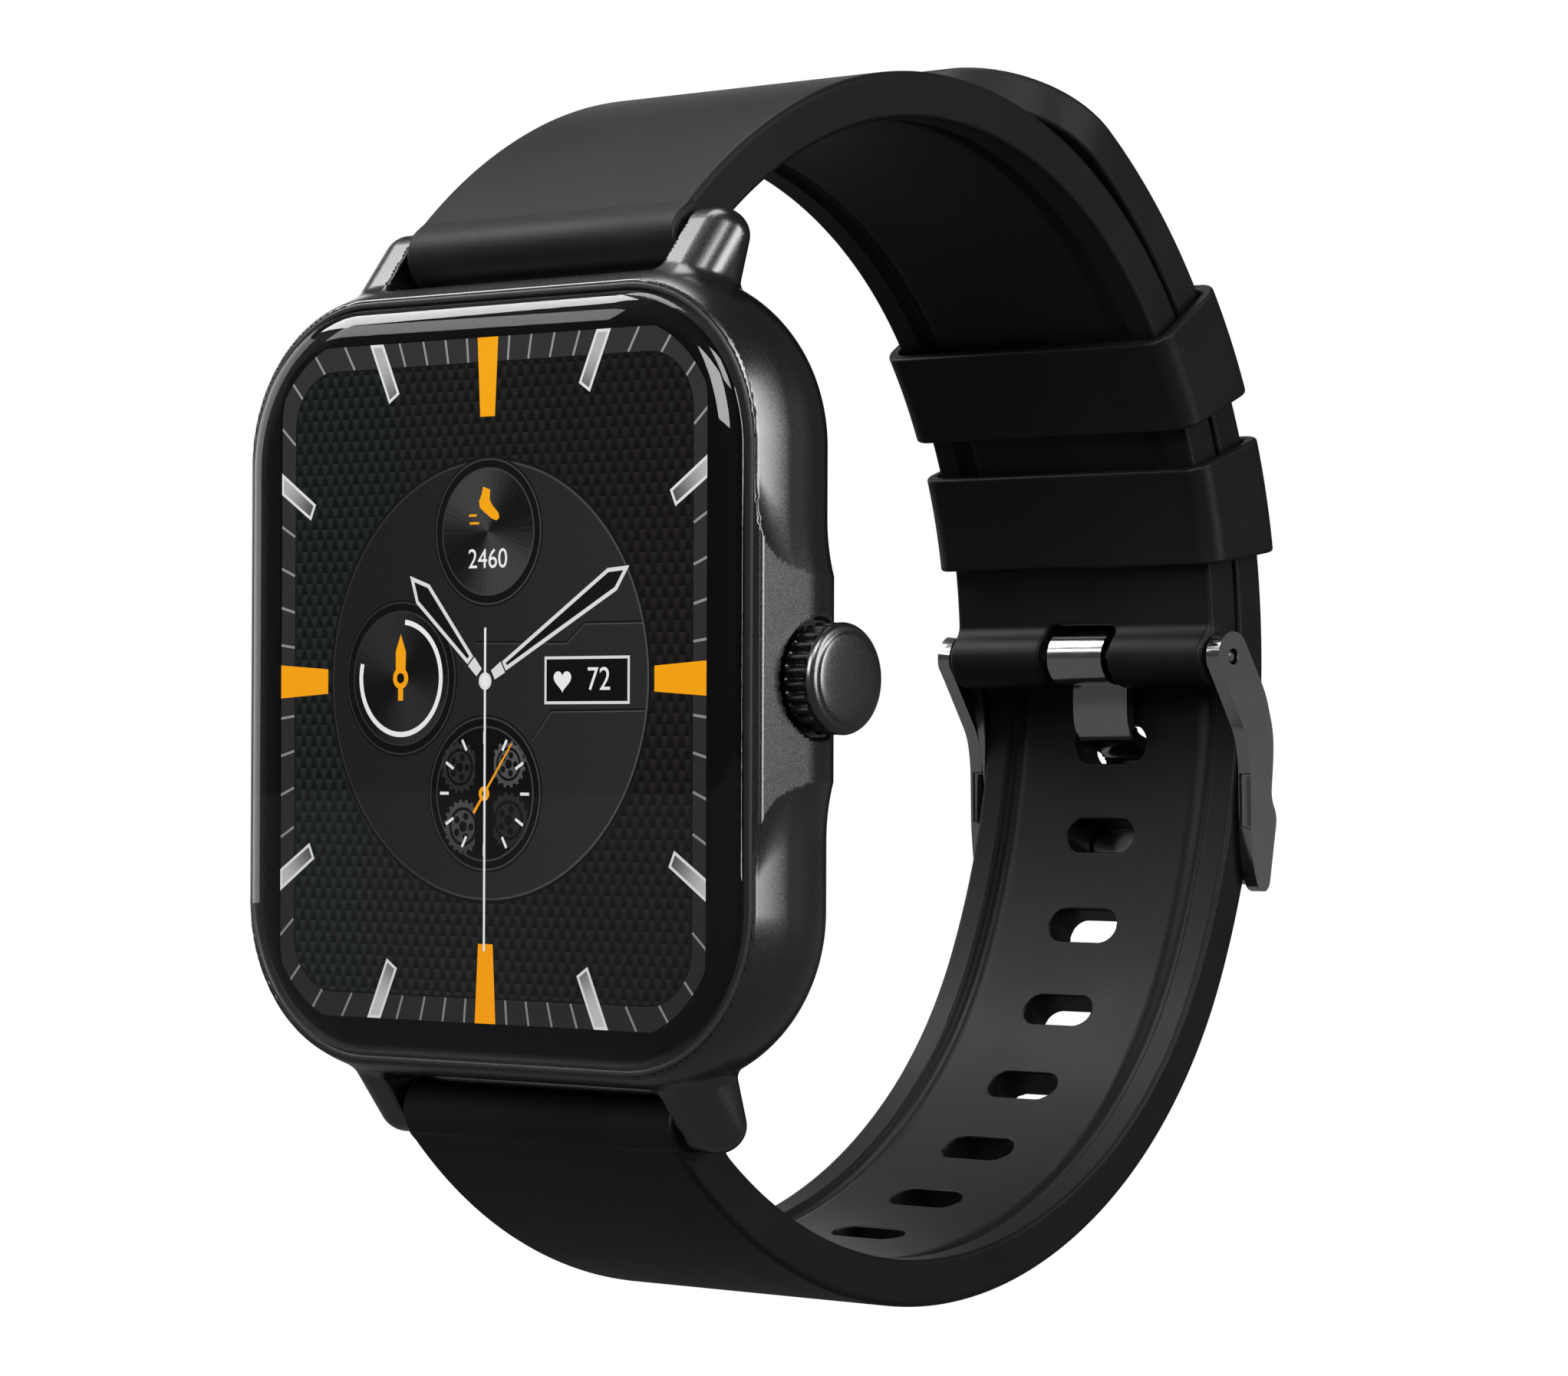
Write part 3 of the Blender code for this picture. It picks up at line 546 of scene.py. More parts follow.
# ---------------------------------------------------------------- case
def guard_offset(y, z):
    """How far the flat crown guard stands out of the curved side, up to a crisp arched edge."""
    depth = np.maximum(y - CASE_FRONT_Y, 0)
    edge = GUARD_HALF_Z + GUARD_ARCH * np.exp(-depth / GUARD_ARCH_DEPTH)
    flat_face = GUARD_BASE + GUARD_SLOPE * np.minimum(depth, GUARD_SLOPE_DEPTH)
    rise = flat_face + FRONT_LEAN_X * np.clip(1 - depth / FRONT_LEAN_DEPTH, 0, 1) ** 1.3
    fade = 1 - smooth_step((y - GUARD_FADE_Y) / GUARD_FADE)
    beyond = np.maximum(np.abs(z) - edge, 0.0)
    across = np.maximum(1 - beyond / GUARD_FLARE, 0.0) ** 2
    return rise * fade * across


def lug_field(x, y, z):
    """One lug shape used four times: a slanted finger with a round tip and soft outer edges."""
    up = np.abs(z)
    tip_y, tip_z = BAR_Y + 0.15, BAR_Z - 0.1
    from_front = (y - tip_y) * LUG_FRONT[0] + (up - tip_z) * LUG_FRONT[1]
    from_back = (y - tip_y) * LUG_BACK[0] + (up - tip_z) * LUG_BACK[1]
    round_tip = np.hypot(y - tip_y, up - tip_z)
    past_front = (y - tip_y) * LUG_FRONT[1] - (up - tip_z) * LUG_FRONT[0]
    past_back = (y - tip_y) * LUG_BACK[1] - (up - tip_z) * LUG_BACK[0]
    on_tip = (past_front > 0) & (past_back < 0)
    profile = np.where(on_tip, round_tip, np.maximum(from_front, from_back)) - LUG_TIP_R
    finger = both(profile, np.abs(x) - LUG_OUT_X, LUG_ROUND)
    finger = both(finger, LUG_IN_X - np.abs(x), LUG_INNER_ROUND)
    return np.maximum(finger, LUG_ROOT_Z - up)


def case_field(x, y, z):
    outline = rounded_box(x, z, CASE_HALF_X, CASE_HALF_Z, CASE_CORNER)
    corner_x = np.maximum(np.abs(x) - (CASE_HALF_X - CASE_CORNER), 0)
    corner_z = np.maximum(np.abs(z) - (CASE_HALF_Z - CASE_CORNER), 0)
    toward_z = corner_z ** 2 / (corner_x ** 2 + corner_z ** 2 + 1e-6)
    left = np.clip(1 - (y - CASE_FRONT_Y) / FRONT_LEAN_DEPTH, 0, 1)
    lean = FRONT_LEAN_X * left ** 1.3 * (1 - toward_z) + FRONT_LEAN_Z * left ** 2 * toward_z
    guarded = outline - np.where(x > 12, guard_offset(y, z), 0)
    turning = np.hypot(np.maximum(guarded + CASE_BACK_ROUND, 0), y - CASE_WIDEST_Y) - CASE_BACK_ROUND
    side = np.where(y < CASE_WIDEST_Y, guarded + lean, turning)
    shell = both(side, CASE_FRONT_Y - y, 0.1)
    shell = both(shell, y - CASE_BACK_Y, 0.4)
    shell = either(shell, lug_field(x, y, z), LUG_FILLET)
    for size, low, high in ((OPENING, -12.0, LEDGE_Y), (CAVITY, -8.7, CAVITY_STEP_Y),
                            (CAVITY_BACK, -5.0, BACK_LEDGE_Y - BACK_LIP),
                            (BACK_THROUGH, -3.1, -1.4), (BACK_OPENING, BACK_LEDGE_Y, 1.0)):
        pocket = np.maximum(rounded_box(x, z, *size), np.maximum(low - y, y - high))
        shell = without(shell, pocket, 0.05)
    around = np.hypot(y - CROWN_Y, z)
    shell = without(shell, np.maximum(around - CROWN_RECESS_R, CROWN_FLOOR_X - x), 0.12)
    shell = without(shell, np.maximum(around - STEM_BORE_R, STEM_BORE_X - x))
    bar = np.hypot(y - BAR_Y, np.abs(z) - BAR_Z)
    return without(shell, np.maximum(bar - BAR_HOLE_R, np.abs(x) - BAR_HOLE_X))


def make_case(metal):
    fine, coarse = 0.2, 1.1
    axes = (spaced((-21.0, -9.8, fine), (-9.8, 9.8, coarse), (9.8, 21.4, fine)),
            spaced((-9.6, -0.4, 0.19)),
            spaced((-27.0, 27.0, fine)))
    points, quads = net_of(case_field, axes)
    points, normals = settle(case_field, points)
    add_piece("case_shell", points, quads, metal, "watch", ["case_middle"], "case_metal", normals)


# ---------------------------------------------------------------- front: ring, glass, display
def rounded_rect(half_x, half_z, radius, steps=24):
    """(x, z) points of a rounded rectangle, counter-clockwise from +X."""
    points = []
    for quarter, (side_x, side_z) in enumerate(((1, 1), (-1, 1), (-1, -1), (1, -1))):
        for i in range(steps + 1):
            angle = math.radians(90 * quarter + 90 * i / steps)
            points.append((side_x * (half_x - radius) + radius * math.cos(angle),
                           side_z * (half_z - radius) + radius * math.sin(angle)))
    return points


def inset(size, amount):
    return (size[0] - amount, size[1] - amount, max(size[2] - amount, 0.3))


def loft(rings, closed=False):
    """bmesh through rings of equal length: closed in a loop, or with both ends capped."""
    bm = bmesh.new()
    loops = [[bm.verts.new(point) for point in ring] for ring in rings]
    pairs = list(zip(loops, loops[1:]))
    if closed:
        pairs.append((loops[-1], loops[0]))
    count = len(loops[0])
    for low, high in pairs:
        for i in range(count):
            j = (i + 1) % count
            bm.faces.new((low[i], low[j], high[j], high[i]))
    if not closed:
        bm.faces.new(loops[0][::-1])
        bm.faces.new(loops[-1])
    return bm


def level(size, y):
    return [(x, y, z) for x, z in rounded_rect(*size)]


def make_ring(plastic):
    """L-section ring round the glass, its outer lip rounded over."""
    section = [(0.0, -8.4), (0.0, -9.34), (0.05, -9.4), (0.13, -9.43), (0.24, -9.43), (0.31, -9.4),
               (0.36, -9.34), (0.36, -8.95), (2.0, -8.95), (2.0, -8.4)]
    ring = loft([level(inset(RING_OUT, step), y) for step, y in section], closed=True)
    from_bmesh("bezel_trim", ring, plastic, "watch", ["bezel_ring"], "bezel_plastic", sharp=50)


def glass_profile(count=18, power=2.2):
    """(inset, y) from the straight rim over the curved edge, a superellipse, to the flat top."""
    profile = [(0.0, GLASS_FOOT_Y), (0.0, GLASS_EDGE_Y)]
    for i in range(1, count + 1):
        across = 1 - math.cos(math.pi / 2 * i / count)
        height = (1 - (1 - across) ** power) ** (1 / power)
        profile.append((GLASS_CURVE * across, GLASS_EDGE_Y + (GLASS_TOP_Y - GLASS_EDGE_Y) * height))
    return profile + [(GLASS_CURVE + 0.1, GLASS_TOP_Y), (GLASS_CURVE + 0.4, GLASS_TOP_Y)]


def make_glass(glass, black):
    rings = [level(inset(GLASS_RIM, step), y) for step, y in glass_profile()]
    inner = [level(inset(GLASS_RIM, step), y) for step, y in ((1.4, -9.95), (0.4, -9.5), (0.4, GLASS_FOOT_Y))]
    from_bmesh("glass_lens", loft(inner + rings), glass, "watch", ["glass_cover"], "cover_glass", sharp=50)
    # Black print behind the glass: a frame round the screen that turns up inside the curved edge.
    turned = [level(inset(GLASS_RIM, step), y)
              for step, y in ((0.45, PRINT_FOOT_Y), (0.45, -9.45), (0.7, -9.72), (1.6, PRINT_TOP_Y))]
    window = [level(ACTIVE, y) for y in (PRINT_TOP_Y, SCREEN_Y, PRINT_FOOT_Y)]
    from_bmesh("glass_print", loft(turned + window, closed=True), black, "watch", sharp=40)


# ---------------------------------------------------------------- dial shown on the screen
LAYER = 0.007
FIELD = (15.76, 18.15, 3.3)
DISC_R = 12.6
STEPS_AT, STEPS_R = (0.1, 8.5), 4.2
GAUGE_AT, GAUGE_R = (-6.9, 0.15), 4.45
WHEELS_AT, WHEELS_R = (-0.08, -6.5), 4.4
PULSE_BOX = (4.6, -1.4, 11.15, 1.3)
HUB = (0.0, -0.06)
DIMPLE_WIDE = 0.86
DIMPLE_HIGH = 0.64


class Drawing:
    """Thin closed plates stacked in front of the screen, drawn in (x, z) seen from the front."""

    def __init__(self, name):
        self.name = name
        self.bm = bmesh.new()
        self.materials = []

    def paint(self, faces, material):
        if material not in self.materials:
            self.materials.append(material)
        for face in faces:
            face.material_index = self.materials.index(material)

    def plate(self, outline, level, material):
        front = SCREEN_Y - LAYER * level
        loops = [[self.bm.verts.new((x, y, z)) for x, z in outline] for y in (front, front + 0.5 * LAYER)]
        count = len(outline)
        faces = [self.bm.faces.new(loops[0]), self.bm.faces.new(loops[1][::-1])]
        for i in range(count):
            j = (i + 1) % count
            faces.append(self.bm.faces.new((loops[0][j], loops[0][i], loops[1][i], loops[1][j])))
        self.paint(faces, material)

    def ring(self, outer, inner, level, material):
        """Plate between two outlines with the same number of points."""
        front = SCREEN_Y - LAYER * level
        back = front + 0.5 * LAYER
        loops = [[self.bm.verts.new((x, y, z)) for x, z in line]
                 for line, y in ((outer, front), (inner, front), (inner, back), (outer, back))]
        count = len(outer)
        faces = []
        for k in range(4):
            first, second = loops[k], loops[(k + 1) % 4]
            for i in range(count):
                j = (i + 1) % count
                faces.append(self.bm.faces.new((first[i], first[j], second[j], second[i])))
        self.paint(faces, material)

    def line(self, points, width, level, material):
        """Polyline of even width, one plate for each straight run."""
        for (x0, z0), (x1, z1) in zip(points, points[1:]):
            size = math.hypot(x1 - x0, z1 - z0)
            side = (-(z1 - z0) / size * width / 2, (x1 - x0) / size * width / 2)
            self.plate([(x0 - side[0], z0 - side[1]), (x1 - side[0], z1 - side[1]),
                        (x1 + side[0], z1 + side[1]), (x0 + side[0], z0 + side[1])], level, material)

    def text(self, body, centre, height, level, material):
        """Raised digits in a plain font."""
        curve = bpy.data.curves.new("digits", "FONT")
        curve.body = body
        curve.size = height * 1.38
        curve.align_x, curve.align_y = "CENTER", "CENTER"
        holder = placed("digits", curve)
        bpy.context.view_layer.update()
        mesh = holder.to_mesh()
        front = SCREEN_Y - LAYER * level
        verts = [self.bm.verts.new((centre[0] + v.co.x, front, centre[1] + v.co.y)) for v in mesh.vertices]
        faces = []
        for polygon in mesh.polygons:
            faces.append(self.bm.faces.new([verts[i] for i in polygon.vertices]))
        grown = bmesh.ops.extrude_face_region(self.bm, geom=faces, use_keep_orig=True)
        for item in grown["geom"]:
            if isinstance(item, bmesh.types.BMVert):
                item.co.y += 0.5 * LAYER
        linked = {face for vert in verts if vert.is_valid for face in vert.link_faces}
        linked |= {item for item in grown["geom"] if isinstance(item, bmesh.types.BMFace)}
        self.paint(linked, material)
        holder.to_mesh_clear()
        bpy.data.objects.remove(holder)

    def finish(self):
        from_bmesh(self.name, self.bm, self.materials, "watch", slot="display_panel", sharp=20)


def circle(centre, radius, count=96, start=0.0, end=360.0):
    step = (end - start) / count
    stop = count if end - start >= 360 else count + 1
    return [(centre[0] + radius * math.sin(math.radians(start + step * i)),
             centre[1] + radius * math.cos(math.radians(start + step * i))) for i in range(stop)]


def moved(outline, centre, scale=1.0, turn=0.0):
    """Outline scaled, turned clockwise by degrees and set down at centre."""
    c, s = math.cos(math.radians(turn)), math.sin(math.radians(turn))
    return [(centre[0] + scale * (x * c + z * s), centre[1] + scale * (z * c - x * s)) for x, z in outline]


def shrunk(outline, amount):
    """Convex outline with every side moved inwards by amount."""
    count = len(outline)
    area = sum(outline[i][0] * outline[(i + 1) % count][1] - outline[(i + 1) % count][0] * outline[i][1]
               for i in range(count))
    turn = 1 if area > 0 else -1
    made = []
    for i in range(count):
        before, here, after = (Vector(outline[i - 1]), Vector(outline[i]), Vector(outline[(i + 1) % count]))
        a, b = (here - before).normalized(), (after - here).normalized()
        na, nb = Vector((-a.y, a.x)) * turn, Vector((-b.y, b.x)) * turn
        both_ways = (na + nb).normalized()
        made.append(tuple(here + both_ways * amount / max(both_ways.dot(na), 0.2)))
    return made


def on_outline(size, angle):
    """Point where the ray at an angle from 12 o'clock leaves a rounded rectangle."""
    dx, dz = math.sin(angle), math.cos(angle)
    low, high = 0.0, 40.0
    for _ in range(40):
        middle = (low + high) / 2
        if rounded_box(dx * middle, dz * middle, *size) < 0:
            low = middle
        else:
            high = middle
    return (dx * low, dz * low)


def woven_screen():
    """Dark field of staggered dimples, greenish on the left and brownish on the right."""
    g = Graph("dial_field", grey(10))
    x, _, z = g.axes()
    row = g.math("DIVIDE", z, DIMPLE_HIGH)
    shift = g.times(g.math("PINGPONG", g.math("FLOOR", row), 1.0), 0.5)
    across = g.math("FRACT", g.add(g.math("DIVIDE", x, DIMPLE_WIDE), shift))
    side = g.times(g.math("ABSOLUTE", g.less(across, 0.5)), 2.0)
    notch = g.add(g.times(side, 0.75), g.times(g.math("FRACT", row), 0.45))
    shade = g.spread(notch, 0.25, 1.05, 0.0, 1.0)
    cloud = g.noise(0.12, 2.0)
    where = g.add(g.times(x, 0.035), g.times(g.less(cloud, 0.5), 0.5))
    side_tint = g.spread(where, -0.45, 0.45, 0.0, 1.0)
    light = g.mix(side_tint, srgb(37, 41, 40), srgb(35, 32, 30))
    dark = g.mix(side_tint, srgb(14, 17, 17), srgb(15, 13, 12))
    return g.glow(g.mix(shade, dark, light))


def shaded(name, dark, light, axis, low, high, grain=0.0):
    """Glow that runs from dark to light along x or z, with a little grain."""
    g = Graph(name)
    place = g.axes()[{"x": 0, "z": 2}[axis]]
    along = g.spread(place, low, high, 0.0, 1.0)
    if grain:
        grains = g.times(g.less(g.noise(3.0), 0.5), grain)
        along = g.math("ADD", along, grains, clamp=True)
    return g.glow(g.mix(along, dark, light))


def outward_screen(name, dark, light, low, high):
    """Glow that grows from dark to light with the distance from the middle of the dial."""
    g = Graph(name)
    x, _, z = g.axes()
    reach = g.math("SQRT", g.add(g.times(x, x), g.times(z, z)))
    return g.glow(g.mix(g.spread(reach, low, high, 0.0, 1.0), dark, light))


def brushed_screen(name, centre, dark, light):
    """Glow like a sunburst-brushed disc round a centre."""
    g = Graph(name)
    x, _, z = g.axes()
    angle = g.math("ARCTAN2", g.less(x, centre[0]), g.less(z, centre[1]))
    wave = g.math("COSINE", g.times(g.add(angle, 0.5), 2.0))
    wave = g.add(g.times(wave, 0.5), 0.5)
    streak = g.node("ShaderNodeTexNoise", noise_dimensions="1D")
    g.feed(streak.inputs["W"], g.times(angle, 9.0))
    streak.inputs["Scale"].default_value = 2.0
    mixed = g.add(g.times(wave, 0.75), g.times(streak.outputs[0], 0.35))
    return g.glow(g.mix(g.spread(mixed, 0.1, 1.0, 0.0, 1.0), dark, light))


def gear_outline(centre, radius, teeth, depth=0.16):
    outline = []
    for i in range(teeth):
        for part, reach in ((0.0, 0), (0.28, 0), (0.38, 1), (0.72, 1), (0.82, 0)):
            angle = 2 * math.pi * (i + part) / teeth
            r = radius - depth + depth * reach
            outline.append((centre[0] + r * math.sin(angle), centre[1] + r * math.cos(angle)))
    return outline


def make_dial():
    white = shaded("dial_white", grey(232), grey(246), "z", -10, 10)
    orange = shaded("dial_orange", srgb(248, 158, 10), srgb(255, 174, 20), "z", -20, 20)
    band_grey = shaded("dial_band", srgb(40, 38, 40), srgb(52, 50, 52), "z", -20, 20, 0.2)
    tick_grey = shaded("dial_tick", grey(128), grey(152), "z", -20, 20)
    silver = shaded("dial_silver", grey(212), grey(232), "z", -20, 20)
    steel_grey = outward_screen("dial_steel", grey(74), grey(184), 17.2, 20.6)
    disc_grey = shaded("dial_disc", srgb(31, 29, 28), srgb(43, 41, 40), "x", -12, 12, 0.25)
    rim_grey = shaded("dial_rim", grey(44), grey(74), "x", -12, 12)
    deep = shaded("dial_deep", grey(9), grey(15), "z", -12, 12)
    line_dark = shaded("dial_line", grey(14), grey(20), "z", -12, 12)
    wheel_dark = shaded("dial_wheel_dark", grey(33), grey(46), "z", -11, -2, 0.4)
    wheel_light = shaded("dial_wheel_light", grey(60), grey(86), "z", -11, -2, 0.4)

    face = Drawing("dial_face")
    face.plate(rounded_rect(*ACTIVE), 1, band_grey)
    face.plate(rounded_rect(*inset(FIELD, -0.1)), 2, line_dark)
    face.plate(rounded_rect(*FIELD), 3, woven_screen())
    face.finish()

    scale = Drawing("dial_scale")
    for minute in range(60):
        if minute % 5 == 0:
            continue
        theta = math.radians(6 * minute)
        angle = math.atan2(math.sin(theta), 1.217 * math.cos(theta))
        scale.line([on_outline(ACTIVE, angle), on_outline(inset(FIELD, -0.12), angle)], 0.15, 3, tick_grey)
    edge_x, edge_z, _ = ACTIVE
    for sz in (1, -1):
        marker = [(-0.82, sz * edge_z), (0.82, sz * edge_z), (0.58, sz * 15.1), (-0.58, sz * 15.1)]
        scale.plate(marker[::sz], 5, orange)
    for sx in (1, -1):
        marker = [(sx * edge_x, -0.98), (sx * edge_x, 0.98), (sx * 13.0, 0.72), (sx * 13.0, -0.72)]
        scale.plate(marker[::sx], 5, orange)
        for sz in (1, -1):
            for corners in (((8.5, edge_z), (9.6, edge_z), (8.0, 16.15), (7.15, 16.7)),
                            ((edge_x, 11.12), (edge_x, 12.4), (14.1, 10.45), (14.52, 9.53))):
                outline = [(sx * x, sz * z) for x, z in corners][::sx * sz]
                scale.plate(outline, 5, silver)
                scale.plate(shrunk(outline, 0.17), 6, steel_grey)
    scale.finish()

    disc = Drawing("dial_disc")
    disc.plate(circle((0, 0), DISC_R + 0.18, 160), 4, line_dark)
    disc.ring(circle((0, 0), DISC_R, 160), circle((0, 0), DISC_R - 0.13, 160), 6, rim_grey)
    disc.plate(circle((0, 0), DISC_R - 0.02, 160), 5, disc_grey)
    for run in ([(12.2, 3.2), (7.7, 3.2), (6.3, 2.1), (-0.9, 2.2)],
                [(12.3, -1.7), (5.1, -1.75), (3.6, -3.4)]):
        disc.line(run, 0.1, 6, line_dark)
        disc.line([(x, z - 0.1) for x, z in run], 0.07, 6, rim_grey)
    disc.finish()

    dials = Drawing("dial_counters")
    steps_face = brushed_screen("dial_steps_face", STEPS_AT, grey(16), grey(66))
    gauge_face = brushed_screen("dial_gauge_face", GAUGE_AT, grey(13), grey(44))
    for centre, radius, fill in ((STEPS_AT, STEPS_R, steps_face), (GAUGE_AT, GAUGE_R, gauge_face),
                                 (WHEELS_AT, WHEELS_R, deep)):
        dials.plate(circle(centre, radius + 0.12), 7, line_dark)
        dials.ring(circle(centre, radius), circle(centre, radius - 0.1), 9, rim_grey)
        dials.plate(circle(centre, radius - 0.02), 8, deep)
        dials.ring(circle(centre, radius - 0.52), circle(centre, radius - 0.62), 10, rim_grey)
        dials.plate(circle(centre, radius - 0.55), 9, fill)
    foot = [(-0.32, 1.2), (0.3, 1.0), (0.26, 0.35), (0.5, 0.0), (1.05, -0.5), (1.12, -0.82), (0.85, -0.98),
            (0.4, -0.82), (-0.2, -0.42), (-0.62, -0.1), (-0.66, 0.3), (-0.45, 0.7)]
    dials.plate(moved(foot, (0.0, 10.0), 0.9), 11, orange)
    dials.line([(-1.4, 9.45), (-0.8, 9.45)], 0.13, 11, orange)
    dials.line([(-1.35, 9.0), (-0.6, 9.0)], 0.13, 11, orange)
    arc_outer, arc_inner = circle(GAUGE_AT, 3.42, 72, 6, 285), circle(GAUGE_AT, 3.12, 72, 6, 285)
    dials.plate(arc_outer + arc_inner[::-1], 11, white)
    pointer = [(-0.42, -0.3), (-0.46, 1.7), (0.0, 2.85), (0.46, 1.7), (0.42, -0.3)]
    dials.plate(moved(pointer, GAUGE_AT, 0.9), 12, orange)
    dials.plate(moved([(-0.2, -1.3), (-0.2, 0), (0.2, 0), (0.2, -1.3)], GAUGE_AT), 12, orange)
    dials.ring(circle(GAUGE_AT, 0.62, 40), circle(GAUGE_AT, 0.3, 40), 13, orange)
    dials.plate(circle(GAUGE_AT, 0.3, 40), 13, deep)
    dials.finish()

    wheels = Drawing("dial_wheels")
    cx, cz = WHEELS_AT
    train = ((-2.0, 1.5, 1.5, 18, wheel_dark), (1.9, 1.7, 1.35, 16, wheel_light),
             (-1.7, -1.9, 1.55, 20, wheel_light), (1.9, -1.5, 1.6, 18, wheel_dark))
    for dx, dz, radius, teeth, shade in train:
        centre = (cx + dx, cz + dz)
        wheels.plate(gear_outline(centre, radius, teeth), 10, shade)
        wheels.ring(circle(centre, radius * 0.72, 48), circle(centre, radius * 0.6, 48), 11, line_dark)
        wheels.plate(circle(centre, radius * 0.2, 32), 11, line_dark)
        for spoke in range(5):
            place = moved([(0, radius * 0.4)], centre, 1, 72 * spoke + 20)[0]
            wheels.plate(circle(place, radius * 0.14, 24), 11, line_dark)
    bridge = [(-0.75, -3.7), (-0.75, 3.7), (0.75, 3.7), (0.75, -3.7)]
    wheels.plate(moved(bridge, WHEELS_AT), 12, deep)
    for hour in range(12):
        wheels.line(moved([(0, 2.85), (0, 3.55)], WHEELS_AT, 1, 30 * hour), 0.17, 14, white)
    small_hand = [(-0.09, -1.4), (0.09, -1.4), (0.05, 3.6), (-0.05, 3.6)]
    wheels.plate(moved(small_hand, WHEELS_AT, 1, 37), 15, orange)
    wheels.plate(circle(WHEELS_AT, 0.42, 32), 16, orange)
    wheels.plate(circle(WHEELS_AT, 0.16, 24), 17, deep)
    wheels.finish()

    pulse = Drawing("dial_pulse")
    x0, z0, x1, z1 = PULSE_BOX
    box = [(x0, z0), (x1, z0), (x1, z1), (x0, z1)]
    pulse.plate(box, 7, silver)
    pulse.plate(shrunk(box, 0.16), 8, deep)
    heart = []
    for i in range(48):
        t = 2 * math.pi * i / 48
        up = 13 * math.cos(t) - 5 * math.cos(2 * t) - 2 * math.cos(3 * t) - math.cos(4 * t)
        heart.append((16 * math.sin(t) ** 3 / 17, up / 17))
    pulse.plate(moved(heart, (6.0, -0.05), 0.72), 9, white)
    pulse.text("72", (8.8, -0.05), 1.35, 9, white)
    pulse.text("2460", (0.1, 6.9), 1.15, 11, white)
    pulse.finish()

    hands = Drawing("dial_hands")
    for tip, width in (((-6.12, 6.08), 0.76), ((11.17, 6.33), 0.72)):
        dx, dz = tip[0] - HUB[0], tip[1] - HUB[1]
        length, turn = math.hypot(dx, dz), math.degrees(math.atan2(dx, dz))
        blade = [(-0.42 * width, 1.7), (-width, length - 1.5), (0, length), (width, length - 1.5),
                 (0.42 * width, 1.7)]
        hands.plate(moved(blade, HUB, 1, turn), 19, silver)
        hands.plate(moved(shrunk(blade, 0.23), HUB, 1, turn), 20, line_dark)
        root = [(-0.3, 0.7), (-0.36, 1.6), (0.36, 1.6), (0.3, 0.7)]
        hands.plate(moved(root, HUB, 1, turn), 19, silver)
    hands.plate([(-0.08, -15.5), (-0.08, 3.0), (0.08, 3.0), (0.08, -15.5)], 22, white)
    hands.plate(circle(HUB, 0.5, 40), 21, silver)
    hands.plate(circle(HUB, 0.34, 32), 23, white)
    hands.finish()


# ---------------------------------------------------------------- straps
class Track:
    """Line of tangent arcs in the YZ plane, straight beyond both ends."""

    def __init__(self, start, heading, arcs):
        y, z = start
        self.parts = [(0.0, y, z, heading, 1e-6)]
        done = 0.0
        for radius, degrees in arcs:
            bend = math.copysign(1 / radius, degrees)
            self.parts.append((done, y, z, heading, bend))
            turn = math.radians(degrees)
            y += (math.sin(heading + turn) - math.sin(heading)) / bend
            z -= (math.cos(heading + turn) - math.cos(heading)) / bend
            heading += turn
            done += radius * abs(turn)
        self.total = done
        self.end = (y, z, heading)
        self.parts.append((done, y, z, heading, 1e-6))

    def place(self, along, depth, inward):
        """(y, z) at a distance along the line and a depth to its inward side."""
        along = np.asarray(along, float)
        starts = [part[0] for part in self.parts[1:]]
        which = np.searchsorted(starts, along, side="right")
        done, y, z, heading, bend = np.array(self.parts).T[:, which]
        now = heading + bend * (along - done)
        line_y = y + (np.sin(now) - np.sin(heading)) / bend
        line_z = z - (np.cos(now) - np.cos(heading)) / bend
        normal = now + inward * math.pi / 2
        return line_y + depth * np.cos(normal), line_z + depth * np.sin(normal)

    def locate(self, y, z, inward):
        """(along, depth) of a point near the end of the line."""
        end_y, end_z, heading = self.end
        dy, dz = y - end_y, z - end_z
        normal = heading + inward * math.pi / 2
        along = dy * math.cos(heading) + dz * math.sin(heading)
        return self.total + along, dy * math.cos(normal) + dz * math.sin(normal)


def loop_point(radius, degrees):
    a = math.radians(degrees)
    return (LOOP_Y + radius * math.cos(a), LOOP_Z + radius * math.sin(a))


OUTER_FACE_R = INNER_R + INNER_THICK
TAIL_FACE_R = OUTER_FACE_R + LAYER_GAP + OUTER_THICK
UPPER = Track(loop_point(OUTER_FACE_R, TUBE_DEG + LEAD_DEG), math.radians(90 + TUBE_DEG + LEAD_DEG),
              [(OUTER_FACE_R, 35.0 - TUBE_DEG - LEAD_DEG), (29.4, 79.8), (35.0, 20.9)])
LOWER = Track(loop_point(TAIL_FACE_R, TAIL_DEG), math.radians(TAIL_DEG - 90),
              [(TAIL_FACE_R, -(TAIL_DEG - 6.8)), (48.6, -31.2), (31.6, -113.3)])


def channel_depth(x, half, along, start, end):
    """How far the wrist side is sunk: a groove inside each border and a slightly lower middle."""
    inward = half - np.abs(x)
    middle = 0.16 * smooth_step((inward - 1.9) / 0.5)
    groove = 0.3 * smooth_step((inward - 1.75) / 0.35) * (1 - smooth_step((inward - 2.5) / 0.9))
    return (middle + groove) * smooth_step((along - start) / 2.0) * smooth_step((end - along) / 3.0)


